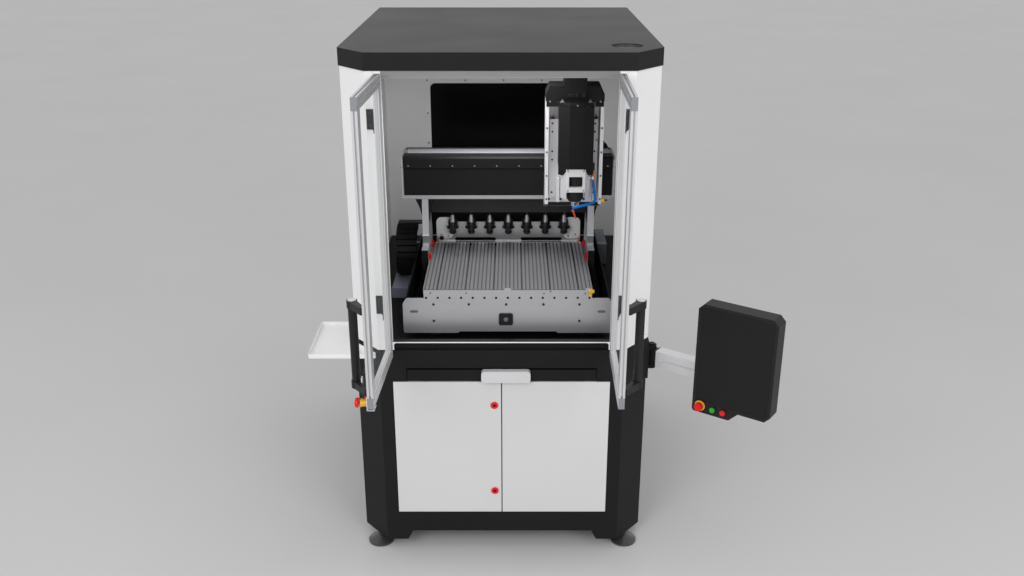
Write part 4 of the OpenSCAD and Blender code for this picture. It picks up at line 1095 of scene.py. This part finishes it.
@dataclass
class ControlPanel:
    """The control panel on its swinging arm. Places are given along the arm from its pivot."""

    pivot: tuple[float, float] = (569.0, -501.0)
    turn: float = -35.0
    reach: float = 368.0
    face: float = -88.5
    back: float = -25.6
    left: float = 220.0
    button_z: float = 667.0
    pivot_top: float = 814.2
    swivel_top: float = 810.2

    def on_arm(self, point: Point, facing: Facing = Facing.UP) -> Matrix:
        """The place of a fitting on the arm or panel, from its foot in millimetres along the arm."""
        foot = Matrix.Translation(Vector((*self.pivot, 0)) * MM)
        return foot @ Matrix.Rotation(math.radians(self.turn), 4, "Z") @ at(point, facing)

    def bezels(self) -> None:
        """Models the rings behind the three push buttons."""
        stop, *rest = [self.on_arm((self.left + x, self.face, self.button_z), Facing.FRONT) for x in (31, 83, 123)]
        seat(BENCH.ring("stop_ring", 20.0, 8.0, 1.7), stop, "panel", YELLOW_PLASTIC)
        spread(BENCH.ring("bezel", 12.5, 8.0, 1.7), "button_bezels", rest, "panel", BLACK_PLASTIC)

    def screws(self) -> None:
        """Models the pivot bolts and the screws of the panel's back."""
        bolt = BENCH.turned("arm_bolt", 11.0, (6.0, 5.0, -3.0), 24, 0.8)
        seat(bolt, self.on_arm((0, 0, self.pivot_top)), "cabinet", DARK_SCREW)
        bolt = BENCH.turned("swivel_bolt", 11.0, (5.0, 5.0, -2.5), 24, 0.8)
        seat(bolt, self.on_arm((self.reach, 0, self.swivel_top)), "panel", DARK_SCREW)
        spots = [(self.left + x, self.back, z) for x in (22, 274) for z in (700, 900, 1040)]
        places = [self.on_arm(s, Facing.BACK) for s in spots]
        screw_set("panel_screws", Screw.HINGE, places, "panel", DARK_SCREW)

    def build(self) -> None:
        """Dresses the nodes and models the fittings."""
        WARDROBE.dress(BLACK_COAT, "arm_bracket")
        WARDROBE.dress(ARM_ALU, "arm")
        WARDROBE.dress(PANEL_PLASTIC, "panel_housing")
        WARDROBE.dress(SCREEN, "panel_screen")
        WARDROBE.dress(RED_PLASTIC, "panel_estop_head", "panel_stop_button")
        WARDROBE.dress(GREEN_PLASTIC, "panel_start_button")
        self.bezels()
        self.screws()


@dataclass
class Bed:
    """The router's bed with its table, front plate and tool rack. Screws are given from the bed's middle."""

    middle: float = 23.0
    front: float = -563.0
    upper_screws: tuple[float, ...] = (-273, -143, -6, 131, 263)
    upper_z: float = 1002.5
    lower_screws: tuple[float, ...] = (-273, 264)
    lower_z: float = 937.0
    strip_screws: tuple[tuple[float, float], ...] = ((-283, 1047), (-152, 1047), (132, 1045), (156, 1053), (283, 1045))
    slot_x: float = 345.0
    slot_z: float = 974.0
    port_x: float = 16.0
    port_z: float = 944.0
    rack_face: float = 28.6

    def on_plate(self, spots: Iterable[tuple[float, float]]) -> list[Matrix]:
        """The places of screws on the front plate."""
        return [at((self.middle + x, self.front + 0.1, z), Facing.FRONT) for x, z in spots]

    def front_plate(self) -> None:
        """Models the plate's screws and the plugs of its slots."""
        spots = [(x, self.upper_z) for x in self.upper_screws] + [(x, self.lower_z) for x in self.lower_screws]
        screw_set("plate_screws", Screw.PLATE, self.on_plate(spots), "cabinet", DARK_SCREW)
        screw_set("strip_screws", Screw.SMALL, self.on_plate(self.strip_screws), "cabinet", DARK_SCREW)
        plug = BENCH.block("plug", (-14.6, 1.0, -4.6), (14.6, 2.6, 4.6), 0.7)
        spread(plug, "slot_plugs", pair(self.middle, self.slot_x, self.front, self.slot_z), "cabinet", GREY_COAT)

    def port(self) -> None:
        """Models the port in the front plate: a round-cornered housing and a turned core."""
        housing = BENCH.block("port_housing", (-26, -20, -23), (26, 20, 23), 7.0, 4)
        BENCH.cut(housing, (0, -5.5, 0), (0, -1, 0))
        BENCH.cut(housing, (0, 2.0, 0), (0, 1, 0))
        BENCH.recess(housing, lambda n: n.y < -FLAT, 4.0, 1.2)
        BENCH.soften(housing, 0.0)
        seat(housing, at((self.port_x, self.front, self.port_z)), "cabinet", BLACK_PLASTIC)
        core = BENCH.turned("port_core", 8.5, (2.0, 2.0, -1.0, 2.0, 0.6), 32, 0.3)
        seat(core, at((self.port_x, self.front - 4.2, self.port_z), Facing.FRONT), "cabinet", ZINC)

    def lubricator(self) -> None:
        """Models the table's lubricator."""
        body = BENCH.block("lubricator_body", (319, -570, 1036), (331, -562.9, 1051), 1.5, 3)
        head = BENCH.block("lubricator_head", (318.5, -572, 1049), (339, -562.9, 1061), 2.0, 3)
        fit(BENCH.join("lubricator", [body, head]), "cabinet", YELLOW_PLASTIC)

    def rack(self) -> None:
        """Models the rack's knob, pegs and screws, and white plates that paint a highlight on its ears."""
        knob = BENCH.turned("rack_knob", 9.0, (8.0, 2.0, 4.0, 1.5, -1.0), 28, 0.8)
        seat(knob, at((self.middle - 278, self.rack_face + 0.1, 1061), Facing.FRONT), "cabinet", BLACK_PLASTIC)
        peg = BENCH.turned("peg", 4.5, (7.0, 1.2, 4.0, 1.0, 1.0))
        spread(peg, "rack_pegs", pair(self.middle, 294, 23, 1046.8), "cabinet", ORANGE_PLASTIC)
        places = []
        for x, z in ((250, 1068), (280, 1075)):
            places += pair(self.middle, x, self.rack_face, z, Facing.FRONT)
        screw_set("rack_screws", Screw.RAIL, places, "cabinet")
        # Painted highlight: white plates on the ears stand in for the light that the rack's satin metal reflects there.
        ear = BENCH.block("ear", (-34, -30, -46), (34, 30, 46), 20.0, 5)
        BENCH.cut(ear, (0, -1.4, 0), (0, -1, 0))
        BENCH.cut(ear, (0, 0.2, 0), (0, 1, 0))
        BENCH.soften(ear, 0.4)
        spread(ear, "rack_ear_highlights", pair(self.middle, 265, 30, 1104), "cabinet", WHITE_COAT)

    def build(self) -> None:
        """Dresses the nodes and models the fittings."""
        WARDROBE.dress(BED_COAT, "bed_frame")
        WARDROBE.dress(PLATE_ALU, "bed_front_plate")
        WARDROBE.dress(TABLE_ALU, "table_planks")
        WARDROBE.dress(RAIL_STEEL, "y_rails")
        WARDROBE.dress(RACK_ALU, "tool_rack")
        WARDROBE.dress(BLACK_PLASTIC, "tool_clips")
        WARDROBE.dress(HOLDER, "tool_holders")
        self.front_plate()
        self.port()
        self.lubricator()
        self.rack()


@dataclass
class CableChain:
    """A cable chain: a lower run, a half-round bend and an upper run, all along Y behind the bend."""

    name: str
    place: Matrix
    width: float
    radius: float
    thick: float
    lower_run: float
    upper_run: float
    links: int

    @property
    def middle(self) -> float:
        """The radius of the bend's middle line."""
        return self.radius - self.thick / 2

    def along(self, walked: float) -> Matrix:
        """The place of a link on the chain's middle line.

        Args:
            walked: The distance from the lower end, in millimetres.

        Returns:
            The place before the chain itself is placed, in metres.
        """
        if walked < self.lower_run:
            return at((0, self.lower_run - walked, self.thick / 2))
        angle = (walked - self.lower_run) / self.middle
        if angle < math.pi:
            foot = at((0, -self.middle * math.sin(angle), self.radius - self.middle * math.cos(angle)))
            return foot @ Matrix.Rotation(-angle, 4, "X")
        over = walked - self.lower_run - math.pi * self.middle
        return at((0, over, self.radius + self.middle)) @ Matrix.Rotation(math.pi, 4, "X")

    def link(self, pitch: float) -> bpy.types.Object:
        """Models one link with its recessed sides.

        Args:
            pitch: The distance between links.

        Returns:
            The link about the origin.
        """
        corner = (self.width / 2, pitch * 0.48, self.thick / 2)
        link = BENCH.block("link", [-c for c in corner], corner, self.thick * 0.07)
        BENCH.recess(link, lambda n: abs(n.z) > FLAT or abs(n.x) > FLAT, self.thick * 0.1, self.thick * 0.05)
        BENCH.soften(link, 0.0)
        return link

    def build(self, fixed: str, moving: str) -> bpy.types.Object:
        """Models the chain link by link in one fixed bend; it rides on neither body, which are only named in the log.

        Args:
            fixed: The body under its lower run.
            moving: The body at its upper run.

        Returns:
            The chain.
        """
        pitch = (self.lower_run + math.pi * self.middle + self.upper_run) / self.links
        places = [self.place @ self.along(pitch * (k + 0.5)) for k in range(self.links)]
        chain = BENCH.repeat(self.link(pitch), self.name, places)
        WARDROBE.put(chain, CHAIN_PLASTIC)
        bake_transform(chain)
        LOG.info("made %s between %s and %s", chain.name, fixed, moving)
        return chain


@dataclass
class Gantry:
    """The travelling gantry with its beam and the cable chains of both axes."""

    middle: float = 23.0
    beam_end: float = 407.9
    cover_face: float = -233.9
    cover_screw: float = 381.0
    cover_pitch: float = 84.6
    upright_x: float = 325.0
    upright_face: float = -260.0
    ledge_face: float = -199.0

    def screws(self) -> None:
        """Models the screws of the beam's cover and end plates, and the strip along the beam's top."""
        first = self.middle - self.cover_screw
        places = [at((first + self.cover_pitch * k, self.cover_face, 1437.6), Facing.FRONT) for k in range(10)]
        screw_set("cover_screws", Screw.COVER, places, "gantry")
        low, high = (self.middle - 400, -110, 1470.9), (self.middle + 400, -80.2, 1472.5)
        fit(BENCH.block("beam_top_strip", low, high, 0.5), "gantry", BED_COAT)
        places = []
        for s, facing in zip(SIDES, (Facing.LEFT, Facing.RIGHT)):
            x = self.middle + s * self.beam_end
            places += [at((x, y, z), facing) for y in (-205, -100) for z in (1330, 1425)]
        screw_set("beam_end_screws", Screw.BEAM, places, "gantry", DARK_SCREW)

    def stops(self) -> None:
        """Models the red end stops on the inner faces of the uprights."""
        stop = BENCH.block("stop", (-5, -7, -14), (5, 7, 14), 2.0, 3)
        BENCH.recess(stop, lambda n: abs(n.x) > FLAT, 1.5, 0.8)
        places = [at((self.middle + s * 307.6, y, 1074)) for s in SIDES for y in (-240, -86)]
        spread(stop, "end_stops", places, "gantry", DEEP_RED)

    def upright_fronts(self) -> None:
        """Models dark plates painting shade on the uprights' lower fronts, and the plate and bar above their ledges."""
        # Painted shade: dark plates on the uprights' lower fronts stand in for the shade on those faces.
        cover = BENCH.block("cover", (-12.3, -2.0, -87), (12.3, 0.1, 87), 0.8)
        places = pair(self.middle, self.upright_x, self.upright_face, 1018)
        spread(cover, "upright_painted_shade", places, "gantry", BED_COAT)
        plate = BENCH.block("plate", (-12.3, -1.2, -14), (12.3, 0.1, 14), 0.4)
        places = pair(self.middle, self.upright_x, self.ledge_face, 1130)
        spread(plate, "upright_plates", places, "gantry", ZINC)
        bar = BENCH.block("bar", (-13.5, -4.0, -3), (13.5, 0.1, 3), 1.0, 3)
        places = pair(self.middle, self.upright_x, self.ledge_face, 1148)
        spread(bar, "upright_bars", places, "gantry", HEAD_ALU)

    def box_trim(self) -> None:
        """Models the trim of the service box right of the bed."""
        trim = BENCH.block("service_box_trim", (401.5, 249, 954), (456.5, 258, 960.8), 0.8)
        fit(trim, "cabinet", STILE_ALU)

    def chains(self) -> None:
        """Models the chain beside the bed and the smaller one behind the beam."""
        beside = CableChain("cable_chain_links", at((-397, 30, 905)), 84, 107, 30, 300, 42, 26)
        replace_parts(beside.build("cabinet", "gantry"), "cable_chain")
        turned = at((370, -56, 1392)) @ Matrix.Rotation(math.pi / 2, 4, "Z")
        CableChain("beam_chain_links", turned, 36, 54, 20, 330, 60, 34).build("gantry", "carriage")

    def build(self) -> None:
        """Dresses the nodes and models the fittings."""
        WARDROBE.dress(UPRIGHT_ALU, "gantry_uprights")
        WARDROBE.dress(TIE_PLATE, "gantry_braces")
        WARDROBE.dress(PLATE_ALU, "gantry_beam")
        WARDROBE.dress(BED_COAT, "beam_cover")
        WARDROBE.dress(TRAY_COAT, "chain_tray")
        self.screws()
        self.stops()
        self.upright_fronts()
        self.box_trim()
        self.chains()


@dataclass
class Head:
    """The head with its slide, spindle and coolant hose. Places are given from the head's centre."""

    centre: float = 268.0
    spindle_y: float = -335.0
    nose: float = 1340.0
    slide_face: float = -281.9
    saddle_face: float = -251.9
    clamp_face: float = -376.9
    cover_x: float = 6.0
    cover_flat: float = 27.0
    cover_face: float = -381.0
    tap: tuple[float, float] = (72.0, -330.0)
    hose_d: float = 9.0
    bead_pitch: float = 5.4

    def spot(self, x: float, y: float, z: float, facing: Facing = Facing.UP) -> Matrix:
        """The place of a fitting whose x is given from the head's centre."""
        return at((self.centre + x, y, z), facing)

    def slide_fittings(self) -> None:
        """Models the slide's screws, its red buffers, the clamp's bolts and the screw of the spindle's cover."""
        spots = [(x, z) for x in (-79, 79) for z in (1348, 1475, 1507, 1581, 1612) if (x, z) != (79, 1475)]
        places = [self.spot(x, self.slide_face, z, Facing.FRONT) for x, z in spots]
        screw_set("slide_screws", Screw.RAIL, places, "spindle_unit", DARK_SCREW)
        buffer = BENCH.turned("buffer", 5.5, (6.0, 1.5, 2.0), 24, 0.6)
        places = [self.spot(x, -275, 1627.8) for x in (-77, 84)]
        spread(buffer, "slide_buffers", places, "spindle_unit", DEEP_RED)
        places = [self.spot(x, self.clamp_face, z, Facing.FRONT) for x in (-23, 35) for z in (1381, 1454)]
        screw_set("clamp_bolts", Screw.CLAMP, places, "spindle_unit")
        places = [self.spot(self.cover_x, self.cover_face + 0.1, 1698, Facing.FRONT)]
        screw_set("spindle_cover_screw", Screw.DOT, places, "spindle_unit")

    def cover_lid(self) -> None:
        """Models the spindle cover's raised lid with its gussets, its side skirts and the wing beside the clamp."""
        lid = BENCH.block("spindle_cover_lid", (-64, self.cover_face, 1689.9), (64, -337, 1704), 0.5)
        for s in SIDES:
            BENCH.cut(lid, (s * self.cover_flat, self.cover_face, 1700), (s * 32, -37, 0))
        BENCH.soften(lid, 0.5)
        seat(lid, self.spot(self.cover_x, 0, 0), "spindle_unit", BED_COAT)
        gusset = BENCH.turned("gusset", 10.0, (1.2, 0.8, 0.4), 3, 0.2)
        lean = Matrix.Rotation(math.radians(50), 4, "X")
        places = [self.spot(x, -352, 1707) @ lean for x in (-47, 54)]
        spread(gusset, "cover_gussets", places, "spindle_unit", PORT_PAINTED_LIGHT_COAT)
        skirt = BENCH.block("skirt", (0, -1.5, -28), (49, 1.5, 0.5), 0.4)
        BENCH.cut(skirt, (0, 0, 0), (-28, 0, -49))
        places = []
        for s, turn in ((1, 40.9), (-1, 139.1)):
            foot = self.spot(self.cover_x + s * self.cover_flat, self.cover_face + 1, 1463)
            places.append(foot @ Matrix.Rotation(math.radians(turn), 4, "Z"))
        spread(skirt, "cover_skirts", places, "spindle_unit", BED_COAT)
        wing = BENCH.block("clamp_wing", (-64, -299, 1314), (-50, self.slide_face, 1409), 1.2, 3)
        seat(wing, self.spot(0, 0, 0), "spindle_unit", HEAD_ALU)

    def carriage_fittings(self) -> None:
        """Models the plugs and screws on the cap, the side plates' screws, and the foot's bolts and wiper."""
        plug = BENCH.block("plug", (-4.2, -3.0, -6.0), (4.2, 0.2, 6.0), 1.4, 3)
        places = [self.spot(x, -341, 1727) for x in (-20, -8, 5, 31)]
        spread(plug, "motor_plugs", places, "carriage", BLACK_PLASTIC)
        spots = [(s * 100.5, z) for s in SIDES for z in (1335, 1425, 1515, 1605)]
        places = [self.spot(x, -329.9, z, Facing.FRONT) for x, z in spots]
        screw_set("side_plate_screws", Screw.SIDE, places, "carriage", DARK_SCREW)
        screw_set("cap_screws", Screw.CAP, pair(self.centre, 92, -334.9, 1704, Facing.FRONT), "carriage")
        self.nipple_and_sensor()
        places = [self.spot(x, self.saddle_face, 1312, Facing.FRONT) for x in (-89, -43, 46, 92)]
        screw_set("foot_bolts", Screw.FOOT, places, "carriage", DARK_SCREW)
        low, high = (-106, self.saddle_face - 1.5, 1285.5), (106, self.saddle_face, 1301)
        wiper = BENCH.block("saddle_wiper", low, high, 0.5)
        seat(wiper, self.spot(0, 0, 0), "carriage", BLACK_PLASTIC)

    def nipple_and_sensor(self) -> None:
        """Models the slide's grease nipple and the limit sensor beside the saddle."""
        nipple = BENCH.turned("grease_nipple", 3.6, (3.0, 1.0, 1.5), 20, 0.3)
        place = self.spot(86, self.slide_face, 1549, Facing.FRONT)
        seat(nipple, place, "spindle_unit", YELLOW_PLASTIC)
        sensor = BENCH.block("limit_sensor", (106.3, -327, 1322), (119, -311, 1335), 1.2, 3)
        seat(sensor, self.spot(0, 0, 0), "carriage", YELLOW_PLASTIC)
        tip = BENCH.turned("sensor_tip", 3.4, (7.0, 0.8, 3.0, 0.6, 1.0), 24, 0.3)
        seat(tip, self.spot(118.8, -319, 1327, Facing.RIGHT), "carriage", BLACK_PLASTIC)

    def hose_path(self) -> list[Vector]:
        """Lays the middle line of the coolant hose.

        Returns:
            Its points, in metres.
        """
        legs = [
            [(69, 5, 80), (72, 2, 60), (82, -4, 20), (82.5, -6, -2)],
            [(82.5, -6, -2), (83, -8, -22), (40, -32, -16), (-4, -42, -27)],
        ]
        path, steps = [], 16
        for n, leg in enumerate(legs):
            a, b, c, d = (Vector(p) for p in leg)
            for k in range(n, steps + 1):
                t = k / steps
                p = a * (1 - t) ** 3 + b * 3 * t * (1 - t) ** 2 + c * 3 * t * t * (1 - t) + d * t**3
                path.append((p + Vector((self.centre, self.spindle_y, self.nose))) * MM)
        return path

    def bead_places(self, path: Sequence[Vector], length: float) -> list[Matrix]:
        """The places of the hose's beads, evenly along its middle line.

        Args:
            path: The middle line, in metres.
            length: Its length, in metres.

        Returns:
            The places, in metres.
        """
        count = round(length / (self.bead_pitch * MM))
        places, walked, n = [], 0.0, 0
        for a, b in zip(path, path[1:]):
            step = (b - a).length
            while n < count and walked + step >= length * n / count:
                spot = a.lerp(b, (length * n / count - walked) / step)
                places.append(Matrix.Translation(spot) @ (b - a).to_track_quat("Z", "Y").to_matrix().to_4x4())
                n += 1
            walked += step
        return places

    def hose(self) -> None:
        """Models the jointed coolant hose bead by bead."""
        path = self.hose_path()
        length = sum((b - a).length for a, b in zip(path, path[1:]))
        r = self.hose_d / 2
        bead = BENCH.turned("bead", r * 1.28, (1.6, r * 0.2, 1.5, -r * 0.12, 1.4, 0.7, 1.2), 20, 0.3)
        places = self.bead_places(path, length)
        hose = spread(bead, "coolant_hose_beads", places, "spindle_unit", BLUE_PLASTIC)
        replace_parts(hose, "coolant_hose")

    def hose_tap(self) -> None:
        """Models the tap that the hose hangs from, with its arm and knob."""
        foot = BENCH.turned("tap_foot", 6.3, (12.0, 0.8, 22.0), 28, 0.8)
        BENCH.settle(foot, self.spot(*self.tap, 1412))
        arm = BENCH.block("tap_arm", (334, -328, 1418), (343, -281.8, 1428), 1.2)
        fit(BENCH.join("hose_tap", [foot, arm]), "spindle_unit", ORANGE_PLASTIC)
        knob = BENCH.turned("tap_knob", 6.0, (3.0, -0.8, 22.0, 2.2, 5.0), 28, 0.8)
        seat(knob, self.spot(*self.tap, 1445.5), "spindle_unit", BLACK_PLASTIC)

    def outlet(self) -> None:
        """Models the tap's side outlet with its rings and copper pipe."""
        body = BENCH.block("outlet_body", (334, -361, 1419), (341, -334, 1429), 1.2, 3)
        collar = BENCH.turned("collar", 3.2, (10.0, 0.8, 1.5), 24, 0.3)
        BENCH.settle(collar, at((334.2, -355, 1424), Facing.LEFT))
        fit(BENCH.join("tap_outlet", [body, collar]), "spindle_unit", WHITE_PLASTIC)
        ring = BENCH.ring("outlet_ring", 4.2, 3.0, 4.0)
        seat(ring, at((333.8, -355, 1424), Facing.LEFT), "spindle_unit", BLUE_PLASTIC)
        pipe = BENCH.turned("outlet_pipe", 1.5, (84.0, -0.6, 2.0), 16, 0.2)
        seat(pipe, at((335.5, -345, 1334.5)), "spindle_unit", COPPER)

    def build(self) -> None:
        """Dresses the nodes and models the fittings."""
        WARDROBE.dress(HEAD_ALU, "head_saddle", "spindle_slide")
        WARDROBE.dress(BED_COAT, "head_cap", "spindle_cover")
        WARDROBE.dress(BLACK_PLASTIC, "spindle_body")
        WARDROBE.dress(CHROME, "spindle_collet")
        WARDROBE.dress(BLUE_PLASTIC, "coolant_hose")
        WARDROBE.dress(NOZZLE_PLASTIC, "hose_nozzle")
        self.hose()
        self.hose_tap()
        self.outlet()
        self.slide_fittings()
        self.cover_lid()
        self.carriage_fittings()


@dataclass(frozen=True)
class Lamp:
    """A soft square lamp. Its place, its aim and its side are in metres."""

    name: str
    place: Point
    aim: Point
    size: float
    watts: float

    def hang(self) -> None:
        """Adds the lamp to the scene."""
        light = bpy.data.lights.new(self.name, "AREA")
        light.size, light.energy = self.size, self.watts
        obj = bpy.data.objects.new(self.name, light)
        obj.location = self.place
        obj.rotation_euler = (Vector(self.aim) - Vector(self.place)).to_track_quat("-Z", "Y").to_euler()
        bpy.context.scene.collection.objects.link(obj)


@dataclass
class Studio:
    """The floor, the lamps and the camera. Lengths are metres, but those of the lens are millimetres."""

    lens: float = 35.95
    sensor: float = 36.0
    stand: tuple[float, float, float] = (0.03846, -4.03316, 2.43222)
    tilt: float = 68.523
    floor_size: float = 60.0
    floor_drop: float = 0.0005
    floor_tone: float = 0.62
    sky: float = 0.78
    room: float = 0.7
    lamps: tuple[Lamp, ...] = (
        Lamp("key", (-2.2, -4.6, 3.4), (0, 0.2, 1.2), 2.4, 80),
        Lamp("fill", (2.6, -4.4, 2.6), (0, 0.2, 1.2), 2.4, 60),
        Lamp("chamber", (0.0, -0.4, 1.862), (0.0, -0.32, 1.0), 0.36, 5),
    )

    def camera(self) -> None:
        """Sets the camera where the photograph was taken from."""
        lens = bpy.data.cameras.new("camera")
        lens.lens, lens.sensor_width = self.lens, self.sensor
        cam = bpy.data.objects.new("camera", lens)
        cam.location = self.stand
        cam.rotation_euler = (math.radians(self.tilt), 0, 0)
        bpy.context.scene.collection.objects.link(cam)
        bpy.context.scene.camera = cam

    def floor(self) -> None:
        """Lays a pale floor under the machine."""
        BENCH.only()
        bpy.ops.mesh.primitive_plane_add(size=self.floor_size, location=(0, 0, -self.floor_drop))
        plane = bpy.context.object
        plane.name = "floor"
        paint = Paint("studio_floor")
        cloud = paint.noise(0.8, detail=5.0)
        pale = (self.floor_tone,) * 3
        paint.done(Base_Color=paint.tint(cloud, pale, shaded(pale, 0.94)), Roughness=0.5 + cloud * 0.15)
        plane.data.materials.append(paint.material)

    def light(self) -> None:
        """Hangs the lamps and sets the even light of the room, a little brighter where it is seen or mirrored."""
        world = bpy.data.worlds.new("room")
        bpy.context.scene.world = world
        world.use_nodes = True
        tree = world.node_tree
        shade, bright = tree.nodes["Background"], tree.nodes.new("ShaderNodeBackground")
        for node, strength in ((shade, self.room), (bright, self.sky)):
            node.inputs["Color"].default_value = (1, 1, 1, 1)
            node.inputs["Strength"].default_value = strength
        path = tree.nodes.new("ShaderNodeLightPath")
        seen = path.outputs["Is Camera Ray"]
        for kind in ("Is Glossy Ray", "Is Transmission Ray"):
            add = tree.nodes.new("ShaderNodeMath")
            add.use_clamp = True
            tree.links.new(seen, add.inputs[0])
            tree.links.new(path.outputs[kind], add.inputs[1])
            seen = add.outputs[0]
        mix = tree.nodes.new("ShaderNodeMixShader")
        for n, socket in enumerate((seen, shade.outputs[0], bright.outputs[0])):
            tree.links.new(socket, mix.inputs[n])
        tree.links.new(mix.outputs[0], tree.nodes["World Output"].inputs[0])
        for lamp in self.lamps:
            lamp.hang()
        bpy.context.scene.view_settings.view_transform = "Standard"

    def build(self) -> None:
        """Sets the whole studio."""
        self.camera()
        self.floor()
        self.light()


def main() -> None:
    """Builds the sub-assemblies in order."""
    logging.basicConfig(level=logging.INFO, format="%(name)s: %(message)s")
    left, right = FrontDoor(Side.LEFT, 92.7), FrontDoor(Side.RIGHT, 89.0)
    for part in (Studio(), Head(), Cabinet(), Hood(), left, right, Station(left), SideTray(), ControlPanel(), Bed(),
                 Gantry()):
        part.build()


if __name__ == "__main__":
    main()
